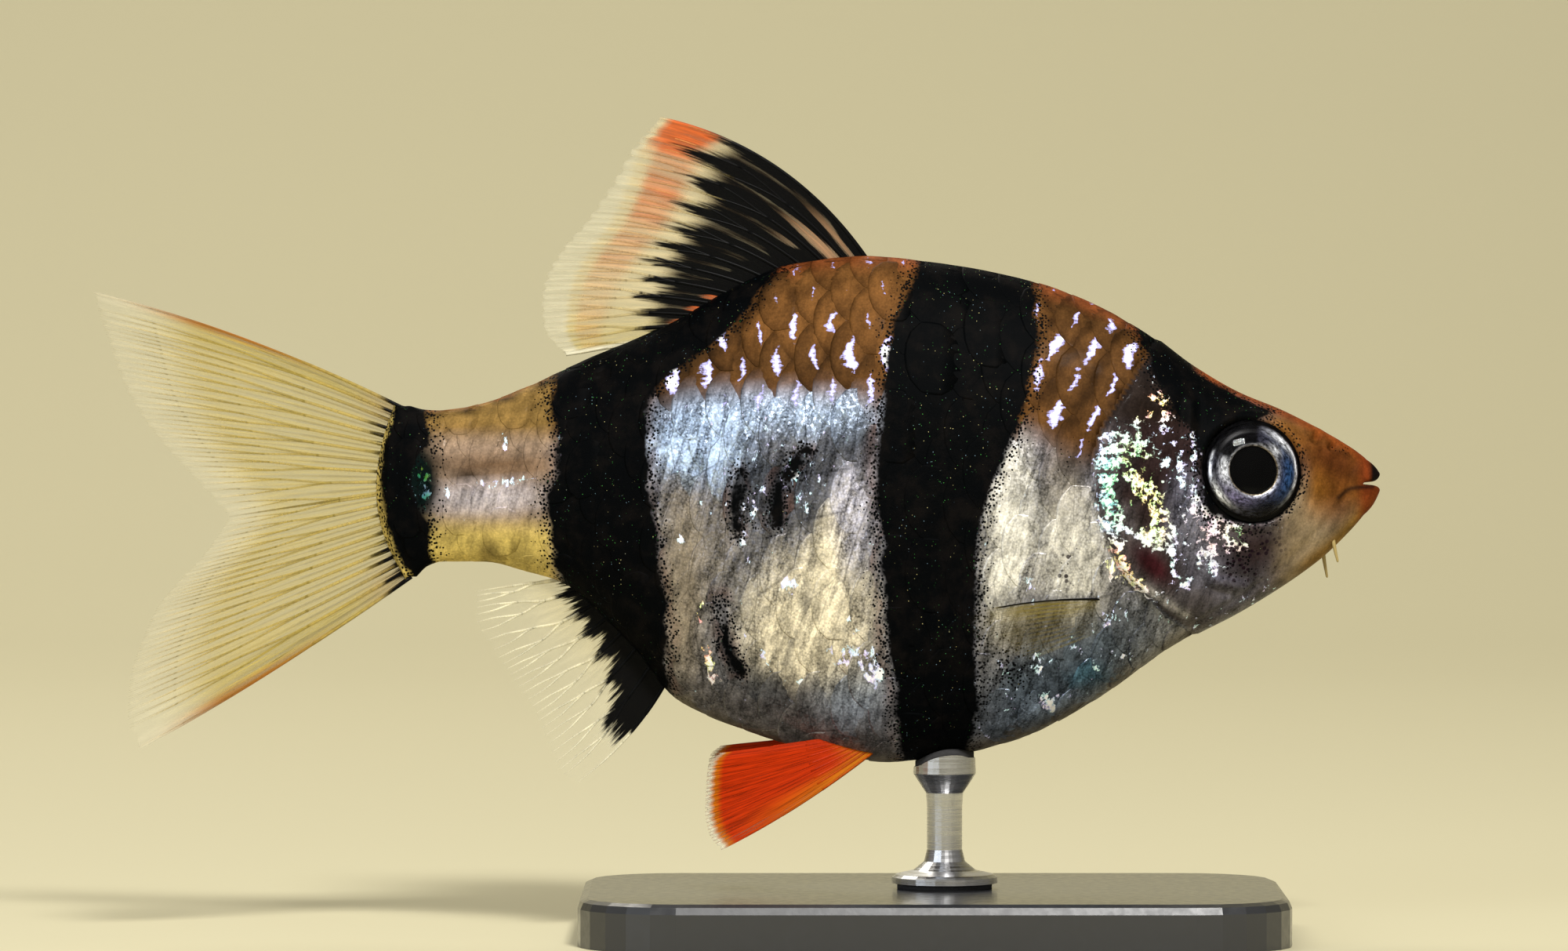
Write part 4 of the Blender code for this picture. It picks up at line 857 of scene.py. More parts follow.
# %% The skin's grid, ending in a wedge over the roots of the tail's rays
ROWS, COLUMNS, LIP_ROWS, CAP_ROWS = 290, 300, 30, 8
WEDGE_LENGTH, WEDGE_WIDTH, WEDGE_HEIGHT = 0.5, 0.14, 0.97
END_SHRINK, SHRINK_FROM, SHRINK_OVER = 0.05, -16.8, 1.1
turn = full_turn(COLUMNS)[None, :]
stations = np.linspace(TAIL_END, SNOUT_END, ROWS)[:, None]
body = section(stations, turn)
lips = mouth_ring(np.linspace(0, len(MOUTH_RINGS) - 1, LIP_ROWS)[1:-1, None], turn)
middle = np.array([TAIL_END, 0.0, float(smooth(MIDLINE, TAIL_END))])
nearer = np.linspace(0.0, 1.0, CAP_ROWS + 1)[:-1, None, None]
narrowing = np.concatenate([0 * nearer, WEDGE_WIDTH + (1 - WEDGE_WIDTH) * nearer,
                            WEDGE_HEIGHT + (1 - WEDGE_HEIGHT) * nearer], axis=-1)
wedge = (body[:1] - middle) * narrowing
height_share = (body[:1, :, 2:] - middle[2]) / np.ptp(body[0, :, 2]) * 2
reach = (1 - nearer) * np.clip(1 - height_share ** 2, 0.1, 1)
cap = middle + wedge - np.array([WEDGE_LENGTH, 0, 0]) * reach
bare = np.concatenate([cap, body, lips])
shrink = END_SHRINK * ease((SHRINK_FROM - bare[..., 0]) / SHRINK_OVER)
bare[..., 2] -= (bare[..., 2] - middle[2]) * shrink
bare[..., 0] += tail_slide(bare[..., 0], bare[..., 2])
push = relief(bare)
push[:CAP_ROWS] = 0
push[-(LIP_ROWS - 2):] *= np.linspace(1, 0, LIP_ROWS - 2)[:, None]
outward = normals_of(np.pad(bare, ((0, 0), (1, 1), (0, 0)), mode="wrap"))[:, 1:-1]
skin_grid = bare + outward * push[..., None]
print("skin grid", skin_grid.shape, "relief from", push.min().round(2), "to", push.max().round(2), "mm")

# %% Skin object
def mark(made, point, own=None):
    """Store the markings at every vertex. Colour, shine and glint are read at own, which on a
    scale leans toward its middle, and the black at the vertex itself."""
    own = point if own is None else own
    for name, values in zip(("ground", "shine", "glint", "tint"), markings(own[:, 0], own[:, 2])):
        attribute(made, name, values)
    attribute(made, "dark", darkness(point[:, 0], point[:, 2]))
    freckles = [spot(point[:, 0], point[:, 2], place, 0.6) for place in FRECKLES]
    attribute(made, "freckle", np.max(freckles, axis=0))

def unwrap(x, up, side):
    """Each flank as its own half of the map: x along u, and height round the flank along v."""
    u = 0.02 + 0.96 * (x + 18.5) / 52.5
    return np.stack([u, np.where(side > 0, 0.52 + 0.46 * up, 0.02 + 0.46 * up)], axis=-1)

rows, columns = skin_grid.shape[:2]
count, quarter = rows * columns, columns // 4
throat = np.array([[TIP_X - THROAT, 0.0, MOUTH_Z]])
right = np.arange(-quarter, quarter + 1)
left = columns // 2 - right
zipped = np.stack([right[1:-2], left[1:-2], left[2:-1], right[2:-1]], axis=-1) % columns
ends = np.array([[right[0], left[1], right[1]], [right[-2], left[-2], right[-1]]]) % columns
skin = surface("skin", np.concatenate([skin_grid.reshape(-1, 3), throat]),
               [quads(rows, columns, around=True), zipped, ends,
                fan(np.arange(columns) + count - columns, count)], SKIN)
mark(skin, np.concatenate([bare.reshape(-1, 3), throat]))
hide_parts("head", "gill_cover_left", "gill_cover_right", "torso", "tail_peduncle")
print("skin has", len(skin.data.polygons), "faces")

# %% [markdown]
# ## Scales
#
# A barb has large, thin scales in rows that follow its side, each one tucked under the one
# ahead of it, about twenty from the gill to the tail. Each is built as a thin closed plate
# bent to the flank. The rows are measured along the skin from the middle row, so they draw
# together toward the tail as real ones do.

# %% A ruler over the flank
AXIS = ((-16.8, 22.9), (-9.6, 23.5), (-2.0, 25.5), (1.0, 25.7), (3.6, 26.1), (6.4, 26.2), (18.4, 24.8),
        (22.0, 24.6))
PITCH = ((-18.0, 1.30), (-9.0, 1.45), (0.0, 1.78), (10.0, 1.92), (22.0, 1.80))
ROW_SPACE = 0.97
RULER_ROWS, RULER_STEPS, FINE_STEPS, RULER_END = 260, 361, 1201, 26.0
ruler_x = np.linspace(TAIL_END, RULER_END, RULER_ROWS)
half_turn = np.linspace(-math.pi / 2, math.pi / 2, FINE_STEPS)[None, :]
half_ring = section(ruler_x[:, None], half_turn)
length = np.concatenate([np.zeros((RULER_ROWS, 1)),
                         np.cumsum(np.linalg.norm(np.diff(half_ring, axis=1), axis=-1), axis=1)], axis=1)
flank_length = length[:, -1]
share = np.linspace(0, 1, RULER_STEPS)
even = np.stack([np.interp(share * flank_length[r], length[r], half_turn[0]) for r in range(RULER_ROWS)])
ruler = section(ruler_x[:, None], even)
ruler_out = normals_of(ruler)
axis_length = np.array([np.interp(smooth(AXIS, ruler_x[r]), half_ring[r, :, 2], length[r])
                        for r in range(RULER_ROWS)])
print("flank is", flank_length.max().round(1), "mm round at its deepest")

def on_flank(x, across, lift, side):
    """Point at x, a length across from the middle row, lifted off the flesh. Past the back or
    the belly the ruler carries on down the other side."""
    r = np.clip((x - ruler_x[0]) / (ruler_x[1] - ruler_x[0]), 0, RULER_ROWS - 1.001)
    whole = np.interp(x, ruler_x, flank_length)
    part = (np.interp(x, ruler_x, axis_length) + across) / whole
    over = (part < 0) | (part > 1)
    part = np.clip(np.where(part > 1, 2 - part, np.abs(part)), 0, 1)
    c = part * (RULER_STEPS - 1.001)
    i, j = r.astype(int), c.astype(int)
    fr, fc = (r - i)[..., None], (c - j)[..., None]

    def read(table):
        low = table[i, j] * (1 - fc) + table[i, j + 1] * fc
        return low * (1 - fr) + (table[i + 1, j] * (1 - fc) + table[i + 1, j + 1] * fc) * fr
    point = read(ruler) + read(ruler_out) * lift[..., None]
    point[..., 1] *= np.where(over, -side, side)
    return point, part

# %% Where each scale is rooted
steps = np.linspace(TAIL_END, RULER_END, 2000)
between = (steps[1:] + steps[:-1]) / 2
count_along = np.concatenate([[0], np.cumsum(np.diff(steps) / smooth(PITCH, between))])
ranks, files = np.meshgrid(np.arange(-12, 13), np.arange(0, int(count_along[-1])))
root_x = np.interp(files + 0.5 * (ranks % 2) + 0.3, count_along, steps).ravel()
pitch = smooth(PITCH, root_x)
root_across = ranks.ravel() * pitch * ROW_SPACE
part = (np.interp(root_x, ruler_x, axis_length) + root_across) / np.interp(root_x, ruler_x, flank_length)
root, _ = on_flank(root_x, root_across, 0 * root_x, 1)
inside = (part > 0.004) & (part < 0.996) & (root_x > -17.3)
inside &= root_x < smooth(GILL_EDGE, root[:, 2]) - 0.35
inside &= root_x > TAIL_END + 0.5 + tail_slide(TAIL_END, root[:, 2])
root_x, root_across, pitch = root_x[inside], root_across[inside], pitch[inside]
print(len(root_x), "scales on each side")

# %% One plate: where its points and faces are
PLATE_LONG = np.array([0.0, 0.40, 0.62, 0.80, 0.955, 1.0])
PLATE_WIDE = np.array([-1.0, -0.94, -0.66, -0.33, 0.0, 0.33, 0.66, 0.94, 1.0])
PLATE_THICK, PLATE_SINK, PLATE_JITTER = 0.05, 0.12, 0.008
OWN_COLOUR, CRESCENT_LEAN = 0.28, 0.34
long, wide = len(PLATE_LONG), len(PLATE_WIDE)
plate_top = quads(long, wide)
plate_rim = rim_of(long, wide)
low_rim = long * wide + np.arange(len(plate_rim))
low_middle = long * wide + len(plate_rim)
plate_side = np.stack([plate_rim, low_rim, np.roll(low_rim, -1), np.roll(plate_rim, -1)], axis=-1)
plate_under = np.stack([low_rim[0::2], np.full(len(low_rim) // 2, low_middle), np.roll(low_rim, -2)[0::2],
                        low_rim[1::2]], axis=-1)
plate = np.concatenate([plate_top, plate_side, plate_under])
print("one scale has", len(plate), "faces on", low_middle + 1, "points")

# %% The plates themselves
def scales(side, name):
    """Each plate runs from a hidden round front to a free rounded rear edge. It rises toward
    the rear, is arched both ways like a roof tile, and has a lower face one thickness below."""
    p, q = PLATE_LONG[None, :, None], PLATE_WIDE[None, None, :]
    size, n = pitch[:, None, None], len(root_x)
    rng = np.random.default_rng(7)
    rear = 0.06 + 0.56 * (1 - np.abs(q) ** 2.2) ** 0.6
    front = -0.85 + 0.25 * q ** 2
    along = (front + (rear - front) * p) * size * (1 + 0.04 * rng.standard_normal(size.shape))
    flare = 0.8 + 0.2 * np.sin(math.pi * np.minimum(p, 0.5))
    across = root_across[:, None, None] + 1.03 * q * size * ROW_SPACE * flare
    x = root_x[:, None, None] - along
    ahead = on_flank(x, across, 0 * x, 1)[0][..., 2]
    x = np.minimum(x, smooth(GILL_EDGE, ahead) - 0.03)
    x = np.maximum(x, TAIL_END + 0.05 + tail_slide(TAIL_END, ahead))
    middle = on_flank(root_x, root_across, 0 * root_x, side)[0]
    root_z = middle[:, 2]
    # Scales stand out on the flank and the back, and less on the stalk and in the black.
    raised = ease((root_z - smooth(ORANGE_EDGE, root_x) + 1.2) / 1.6)
    stalk = ease((-8.0 - root_x) / 2.0)
    velvet = 1 - 0.6 * ease((darkness(root_x, root_z) - 0.1) / 0.7)
    bold = ((0.21 + 0.01 * raised) * (1 - 0.75 * stalk) * velvet)[:, None, None]
    arch = 0.075 * (1 - q ** 2) * ease(p / 0.4) + 0.075 * np.clip(1 - ((p - 0.70) / 0.36) ** 2, 0, 1)
    lift = bold * (0.12 * p + arch) - PLATE_SINK + PLATE_JITTER * rng.standard_normal(size.shape)
    # Painted highlights: the crescents are bright on the upper flank, where the scales face the
    # light, and near the gill, and faint on the stalk.
    high = ease((root_z - 26.4) / 1.6) * (1 - 0.45 * ease((root_z - 30.8) / 1.4))
    highlight_share = rng.uniform(0.6, 1.0, n) * high
    near_gill = spot(root_x, root_z, (17.6, 28.0, 2.6, 4.0, 0.0), 0.4)
    highlight_share = np.maximum(highlight_share, 0.95 * near_gill * rng.uniform(0.6, 1.0, n)) * (1 - 0.75 * stalk)
    highlight_share = highlight_share[:, None, None]
    upper, part = on_flank(x, across, lift, side)
    lower = on_flank(x, across, lift - PLATE_THICK, side)[0].reshape(n, -1, 3)
    below = np.concatenate([lower[:, plate_rim], lower[:, [2 * wide + wide // 2]]], axis=1)
    points = np.concatenate([upper.reshape(n, -1, 3), below], axis=1)
    each = points.shape[1]
    single = plate[:, ::-1] if side > 0 else plate
    made = surface(name, points.reshape(-1, 3),
                   [(single[None] + (np.arange(n) * each)[:, None, None]).reshape(-1, 4)], SCALE)

    def with_under(grid):
        flat = np.broadcast_to(grid, (n, long, wide, grid.shape[-1])).reshape(n, long * wide, -1)
        return np.concatenate([flat, flat[:, plate_rim], flat[:, [2 * wide + wide // 2]]], axis=1)
    leaning = p + CRESCENT_LEAN * q * near_gill[:, None, None]
    lie = np.stack(np.broadcast_arrays(leaning, q, highlight_share), axis=-1)
    attribute(made, "lie", with_under(lie).reshape(-1, 3))
    loyal = (OWN_COLOUR * (1 - stalk) * (1 - near_gill))[:, None, None]
    own = (1 - loyal) * points + loyal * middle[:, None]
    mark(made, points.reshape(-1, 3), own.reshape(-1, 3))
    spread = np.stack(np.broadcast_arrays(p - 0.5, 0.5 * q), axis=-1) * 0.003
    home = unwrap(root_x, part[:, 0, wide // 2], np.full(n, side))[:, None, None, :] + spread
    bake_map(made, with_under(home).reshape(-1, 2))
    return made

for word, side in (("left", 1), ("right", -1)):
    made = scales(side, "scales_" + word)
    print(made.name, "has", sum(len(p.vertices) - 2 for p in made.data.polygons), "triangles")

# %% [markdown]
# ## Fins
#
# A fin is a web of clear skin stretched over bony rays. Each ray starts as one rod and
# splits in two, and again, toward the margin. The web is a thin closed sheet between a root
# line in the flesh and the measured margin, and the rays are tapering tubes laid along it.
# Pigment and clearness are worked out from the place between root and margin.

# %% Roots and margins, from the leading ray (0) to the last ray (1), as (0..1, x, z)
FINS = {
    "dorsal_fin": dict(
        root=((0, 7.05, 34.0), (0.5, 1.7, 33.1), (1, -3.3, 30.6)),
        margin=((0, -3.88, 41.8), (0.12, -5.24, 40.32), (0.25, -6.4, 38.36), (0.4, -7.76, 36.4),
                (0.52, -8.92, 35.04), (0.65, -9.72, 33.64), (0.75, -9.98, 32.5),
                (0.87, -9.85, 31.0), (1, -8.7, 29.6)),
        bow=(0.78, 1.17), rays=12, splits=2, ray=0.13),
    "anal_fin": dict(
        root=((0, -3.15, 13.8), (0.5, -5.9, 16.2), (1, -8.6, 18.3)),
        margin=((0, -8.08, 7.8), (0.12, -9.0, 8.4), (0.25, -9.68, 10.0), (0.4, -10.4, 11.6),
                (0.55, -11.4, 13.0), (0.7, -12.2, 14.28), (0.85, -13.32, 16.2), (1, -13.3, 17.6)),
        bow=(0.38, -0.33), rays=8, splits=2, ray=0.12),
    "caudal_fin_upper": dict(
        root=((0, -16.7, 26.8), (0.5, -17.3, 24.9), (1, -17.3, 22.72)),
        margin=((0, -32.8, 32.9), (0.1, -32.48, 31.6), (0.25, -32.0, 30.2), (0.4, -31.4, 28.4),
                (0.55, -30.4, 26.6), (0.7, -29.28, 25.12), (0.85, -27.8, 23.5), (1, -25.9, 21.4)),
        bow=(0.17, 0.47), rays=11, splits=3, ray=0.10),
    "caudal_fin_lower": dict(
        root=((0, -16.6, 18.3), (0.5, -17.3, 20.4), (1, -17.3, 22.72)),
        margin=((0, -30.5, 9.5), (0.1, -31.1, 11.2), (0.25, -30.96, 13.2), (0.4, -30.4, 15.0),
                (0.55, -29.6, 16.76), (0.7, -28.6, 18.0), (0.85, -27.1, 19.6), (1, -25.9, 21.4)),
        bow=(-0.2, -0.45), rays=11, splits=3, ray=0.10),
    "pelvic_fin": dict(
        root=((0, 7.5, 9.9), (1, 6.1, 10.3)),
        margin=((0, -0.76, 4.64), (0.2, -1.4, 5.48), (0.4, -1.6, 6.6), (0.6, -1.56, 7.88),
                (0.8, -1.4, 9.0), (1, -0.88, 9.5)),
        bow=(-0.1, -0.4), rays=9, splits=2, ray=0.10, lean=(1.2, 0.0, 0.30)),
    "pectoral_fin": dict(
        root=((0, 19.0, 17.3), (1, 18.7, 15.8)),
        margin=((0, 9.92, 16.2), (0.3, 9.84, 15.5), (0.55, 10.3, 14.8), (0.8, 11.6, 14.2),
                (1, 13.6, 13.9)),
        bow=(0.05, 0.45), rays=13, splits=1, ray=0.07, lean=(2.9, 1.25, 0.26)),
}
LEAN_LENGTH = 0.8

def fin_place(fin, t, s, side=1):
    """Root plus s times the way to the margin, bowed by 4 s (1 - s) near the leading ray.
    A paired fin steps out of the skin quickly and then leans away evenly."""
    base, edge = curve(fin["root"], t), curve(fin["margin"], t)
    reach = edge - base
    arch = 4 * s * (1 - s) * np.clip(1 - t, 0, 1) ** 1.2
    flat = base + reach * s[..., None] + arch[..., None] * np.array(fin["bow"])
    away = s * np.linalg.norm(reach, axis=-1)
    start, step, splay = fin.get("lean", (0, 0, 0))
    y = start + step * (1 - np.exp(-away / LEAN_LENGTH)) + splay * away
    return np.stack([flat[..., 0], side * y, flat[..., 1]], axis=-1)

print("dorsal fin's tip at", np.round(fin_place(FINS["dorsal_fin"], np.array([0.0]), np.array([1.0])), 2))

# %% [markdown]
# The colours of each fin are again washes, now over t (leading ray to last) and s (root to
# margin): black streaks and a red edge on the dorsal, red on the pelvic fins, clear yellow
# on the tail. A fin has no metal, so here a wash's shine says how solid the fin is, from
# clear at 0 to opaque at 1.

# %% Colours of the fins
CLEAR, FIN_YELLOW, TAIL_YELLOW = shade(222, 216, 190), shade(196, 176, 104), shade(176, 156, 74)
RAY_GOLD, FIN_BROWN, EDGE_ORANGE = shade(194, 168, 88), shade(40, 30, 19), shade(160, 94, 30)
RAY_GAP, ROOT_PINK, PALE_RAY = shade(96, 82, 42), shade(160, 124, 92), shade(250, 245, 214)
FIN_RED, FIN_ORANGE, EDGE_YELLOW = shade(170, 42, 2), shade(190, 92, 44), shade(186, 112, 14)
FIN_OLIVE, FIN_CREAM = shade(112, 98, 30), shade(208, 190, 146)
DORSAL_DARK = ((0, 0.72), (0.06, 0.76), (0.15, 0.71), (0.25, 0.64), (0.45, 0.56), (0.65, 0.45), (0.85, 0.34),
               (1, 0.16))
DORSAL_OUTER = ((0, 0.975), (0.1, 0.955), (0.25, 0.91), (0.4, 0.865), (0.6, 0.835), (0.8, 0.82), (1, 0.85))
ANAL_DARK = ((0, 0.55), (0.05, 0.68), (0.12, 0.60), (0.2, 0.49), (0.3, 0.40), (0.5, 0.31), (0.75, 0.26),
             (0.9, 0.18), (1, 0.10))
print("a fin's colours are given at (t, s), its lead ray at t = 0 and its root at s = 0")

# %% Washes of each fin; over_ray is 1 along a ray and -1 midway between two
def dorsal_washes(wash, t, s, over_ray):
    wash.lay(FIN_CREAM, ease((1.0 - t) / 0.3), 0.26)
    black, outer = smooth(DORSAL_DARK, t), smooth(DORSAL_OUTER, t)
    weight = 1 - 0.72 * ease((t - 0.04) / 0.8)
    band = ease((outer - s) / 0.05) * ease((s - outer + 0.25) / 0.10) * weight
    patchy = 0.80 + 0.12 * np.sin(23 * t + 1.3) + 0.10 * np.sin(57 * t + 9 * s) + 0.08 * np.sin(131 * t)
    wash.lay(FIN_ORANGE, band * patchy * (0.92 + 0.08 * over_ray), 0.80)
    tip = ease((0.16 - t) / 0.10) * ease((s - 0.72 - 0.6 * t) / 0.06) * ease((0.985 - s) / 0.03)
    wash.lay(FIN_ORANGE, tip * 0.95, 0.92)
    wash.lay(FIN_BROWN, ease((black + 0.04 - s) / 0.16), 0.93)
    wash.lay(ROOT_PINK, spot(t, s, (0.13, 0.12, 0.10, 0.16, 0.0), 0.7) * 0.9, 0.75)
    wash.lay(FIN_ORANGE, ease((t - 0.5) / 0.2) * bell(s - 0.12, 0.05) * ease((0.3 - over_ray) / 0.5), 0.85)
    wash.lay(CLEAR, ease((s - outer - 0.01) / 0.05), 0.12)
    wash.lay(CLEAR, ease((t - 0.97) / 0.02), 0.9)
    dark = (black + 0.10 * over_ray - s) * 7.0
    dark = np.minimum(dark, 2.2 - 2.1 * ease((-over_ray - 0.05) / 0.8) * ease((s - 0.12) / 0.15))
    dark = dark - 2.6 * ease((t - 0.5) / 0.2) * bell(s - 0.12, 0.06) * ease((-over_ray - 0.1) / 0.5)
    front = ease((0.26 - t) / 0.12) * ease((0.40 - s) / 0.24) * ease((t - 0.03) / 0.03)
    return dark - 2.0 * front * (1 - 0.6 * over_ray)

def gap_lines(name, t, s):
    """1 on the thin dark lines midway between neighbouring rays. The rays double at each split,
    so the lines are read from a cosine of twice, then four times, the first rays' number."""
    phase = 2 * math.pi * t * (FINS[name]["rays"] - 1)
    first = bell(1 + np.cos(phase), 0.16)
    return np.where(s < 0.38, first, np.where(s < 0.62, bell(1 - np.cos(2 * phase), 0.20),
                                              bell(1 - np.cos(4 * phase), 0.35)))

def anal_washes(wash, t, s, over_ray):
    wash.lay(CLEAR, 0.4 + 0.6 * ease((s - 0.2) / 0.6), 0.015)
    dark = (smooth(ANAL_DARK, t) + 0.05 * over_ray - s) * 8.0
    clear_edge = ease((0.07 - t) / 0.06) * ease((0.45 - s) / 0.3)
    return dark - 3.0 * ease((0.03 - t) / 0.03) * ease((s - 0.45) / 0.2) - 1.3 * clear_edge

def caudal_washes(wash, t, s, over_ray):
    wash.lay(TAIL_YELLOW, 0.4 + 0.6 * ease((1.0 - s) / 0.9), 0.26)
    wash.lay(TAIL_YELLOW, ease((0.20 - t) / 0.16) * ease((1.0 - s) / 0.5) * 0.8, 0.55)
    wash.lay(ROOT_PINK, ease((0.22 - s) / 0.2) * ease((0.5 - t) / 0.4) * 0.6, 0.45)
    wash.lay(RAY_GAP, gap_lines("caudal_fin_upper", t, s) * ease((0.9 - s) / 0.7) * 0.6, 0.50)
    wash.lay(EDGE_ORANGE, ease((0.050 - t) / 0.045) * ease((s - 0.15) / 0.4) * 0.9, 0.85)
    wash.lay(CLEAR, ease((s - 0.66) / 0.34) * 0.9, 0.04)
    speckled = -1.3 + 0.95 * ease((0.18 - t) / 0.12) * ease((0.75 - s) / 0.4)
    return np.maximum((0.070 + 0.03 * over_ray - s) * 12.0 - 0.1, speckled)

def pelvic_washes(wash, t, s, over_ray):
    wash.lay(FIN_RED, np.ones(t.shape), 0.96)
    wash.lay(EDGE_YELLOW, ease((0.34 - t) / 0.34) * ease((0.97 - s) / 0.9) * 0.9, 0.94)
    wash.lay(EDGE_YELLOW, ease((0.26 - s) / 0.24) * 0.8, 0.85)
    wash.lay(EDGE_YELLOW, ease((s - 0.90) / 0.05) * 0.7, 0.80)
    wash.lay(CLEAR, ease((s - 0.955) / 0.03), 0.25)
    return -3.0 + 0 * t

def pectoral_washes(wash, t, s, over_ray):
    wash.lay(FIN_OLIVE, np.ones(t.shape), 0.02)
    wash.lay(FIN_OLIVE, ease((0.50 - t) / 0.45) * ease((0.75 - s) / 0.4), 0.42)
    return -3.0 + 4.2 * ease((0.035 - t) / 0.02) * ease((0.85 - s) / 0.3)

# Of each fin: its washes, and on its rays another colour, its share, and how much firmer they are.
FIN_PAINT = {"dorsal": (dorsal_washes, FIN_YELLOW, 0.25, 0.18),
             "anal": (anal_washes, PALE_RAY, 0.55, 0.50), "caudal": (caudal_washes, RAY_GOLD, 0.55, 0.30),
             "pelvic": (pelvic_washes, FIN_RED, 0.55, 0.30),
             "pectoral": (pectoral_washes, FIN_YELLOW, 0.55, 0.05)}

def fin_marks(name, t, s, ray):
    """Colour, cover and depth of black; ray is 1 on a ray and 0 on the web."""
    wash = Wash(t.shape, FIN_YELLOW, 0.30, 0.0)
    over_ray = np.cos(2 * math.pi * t * (FINS[name]["rays"] - 1))
    washes, tint, share, firm = FIN_PAINT[name.split("_")[0]]
    dark = washes(wash, t, s, over_ray)
    if ray:
        wash.colour += (tint - wash.colour) * share
        wash.shine += (1 - wash.shine) * firm * (1 - 0.75 * ease((s - 0.7) / 0.3))
    if name == "pectoral_fin":
        wash.shine *= ease((s + 0.02) / 0.4) * (1 - ease((s - 0.60) / 0.20))
    return wash.colour, np.clip(wash.shine, 0, 1), np.clip(dark, -3, 3)

tip_colour, tip_cover, _ = fin_marks("dorsal_fin", np.array([0.1]), np.array([0.9]), 0.0)
print("near its tip the dorsal fin is", tip_colour[0].round(2), "and", tip_cover[0].round(2), "solid")

# %% [markdown]
# The web of a fin is thin enough to see through, and its pigment lies in streaks along the
# rays. Glass would bend what stands behind it, so the clear part is alpha, taken from the same
# washes, and the black stays solid where the web is clear.

# %% Fin finish: streaked pigment, and alpha for the clear web
STREAK_SCALE, JOINT_WAVES = (60.0, 3.0, 1.0), 260.0

def fin_look(name):
    """Finish for webs and rays; lie holds t, s, and 1 on a ray or 0 on the web."""
    look, tree, shader = new_look(name)
    lie = attribute_of(tree, "lie")["Vector"]
    streaks = stretch(tree, lie, STREAK_SCALE)
    torn = noise(tree, streaks, 1.0, 5.0, Roughness=0.6)
    depth = calc(tree, "ADD", attribute_of(tree, "dark")["Fac"],
                 calc(tree, "MULTIPLY", calc(tree, "SUBTRACT", torn, 0.5), 4.2))
    mask = ramp(tree, depth, -0.35, 0.55)
    parts = put(tree, "SeparateXYZ", {"Vector": lie}).outputs
    joint = calc(tree, "SINE", calc(tree, "MULTIPLY", parts[1], JOINT_WAVES))
    notch = calc(tree, "MULTIPLY", ramp(tree, joint, 0.2, 0.9), calc(tree, "MULTIPLY", parts[2], 0.12))
    value = calc(tree, "SUBTRACT", ramp(tree, torn, 0.3, 0.7, 0.72, 1.2), notch)
    tone = put(tree, "HueSaturation", {"Color": attribute_of(tree, "ground")["Color"],
                                       "Value": value}).outputs[0]
    tree.links.new(blend(tree, mask, tone, shade(9, 9, 9)), shader.inputs["Base Color"])
    ragged = ramp(tree, torn, 0.25, 0.75, 0.6, 1.3)
    steadier = calc(tree, "SUBTRACT", 1.0, calc(tree, "MULTIPLY", parts[2], 0.8))
    ragged = calc(tree, "ADD", 1.0, calc(tree, "MULTIPLY", calc(tree, "SUBTRACT", ragged, 1.0), steadier))
    cover = calc(tree, "MULTIPLY", attribute_of(tree, "solid")["Fac"], ragged)
    cover = calc(tree, "MINIMUM", cover, 1.0)
    alpha = calc(tree, "MAXIMUM", cover, calc(tree, "MULTIPLY", mask, 0.97))
    tree.links.new(alpha, shader.inputs["Alpha"])
    lift = put(tree, "Bump", {"Height": torn, "Strength": 0.3, "Distance": 0.00003}).outputs[0]
    tree.links.new(lift, shader.inputs["Normal"])
    shader.inputs["Roughness"].default_value = 0.45
    shader.inputs["Specular IOR Level"].default_value = 0.04
    shader.inputs["Coat Weight"].default_value = 0.02
    shader.inputs["Coat Roughness"].default_value = 0.2
    return look

FIN = fin_look("fin skin")
print("fin finish:", FIN.name)

# %% The web between the rays
WEB_ROWS, WEB_COLUMNS, WEB_HALF = 60, 150, 0.045

def fin_finish(made, name, t, s, ray):
    """Store colour, cover, black and place at every point of a web or of the rays."""
    colour, solid, dark = fin_marks(name, t, s, ray)
    attribute(made, "ground", colour.reshape(-1, 3))
    attribute(made, "solid", solid.ravel())
    attribute(made, "dark", dark.ravel())
    attribute(made, "lie", np.stack([t, s, ray + 0 * t], axis=-1).reshape(-1, 3))

def web(name, fin, side, label):
    """Closed sheet: the middle surface plus and minus half a thickness, scalloped a little
    between the ray tips."""
    t, s = np.meshgrid(np.linspace(0, 1, WEB_COLUMNS), np.linspace(0, 1, WEB_ROWS))
    tips = 0.5 - 0.5 * np.cos(2 * math.pi * t * (fin["rays"] - 1) * 2)
    inner = s * (1 - 0.016 * tips * s ** 6 * ease(t / 0.06))
    middle = fin_place(fin, t, inner, side)
    half = (WEB_HALF * (1.6 - 0.9 * s))[..., None]
    out = normals_of(middle)
    points = np.stack([middle + out * half, middle - out * half])
    made = surface(label, points.reshape(-1, 3), [sheet_faces(WEB_ROWS, WEB_COLUMNS)], FIN)
    both = [np.stack([v, v]) for v in (t, s)]
    fin_finish(made, name, *both, 0.0)
    u = np.stack([0.01 + 0.48 * t, 0.51 + 0.48 * t])
    bake_map(made, np.stack([u, 0.01 + 0.98 * both[1]], axis=-1).reshape(-1, 2))
    return made

print("a web has", len(sheet_faces(WEB_ROWS, WEB_COLUMNS)), "faces")

# %% [markdown]
# A ray is a stack of bony joints that forks on its way to the margin. Curves with a bevel could
# draw it, but tubes worked out over (t, s) follow the web as it bends, and fork at the same
# places on every fin. The leading ray stays whole.

# %% The rays, splitting toward the margin
FIRST_SPLIT, NEXT_SPLIT = {1: 0.30, 2: 0.36, 3: 0.34}, 0.24
RAY_STEPS, RAY_SIDES = 14, 6

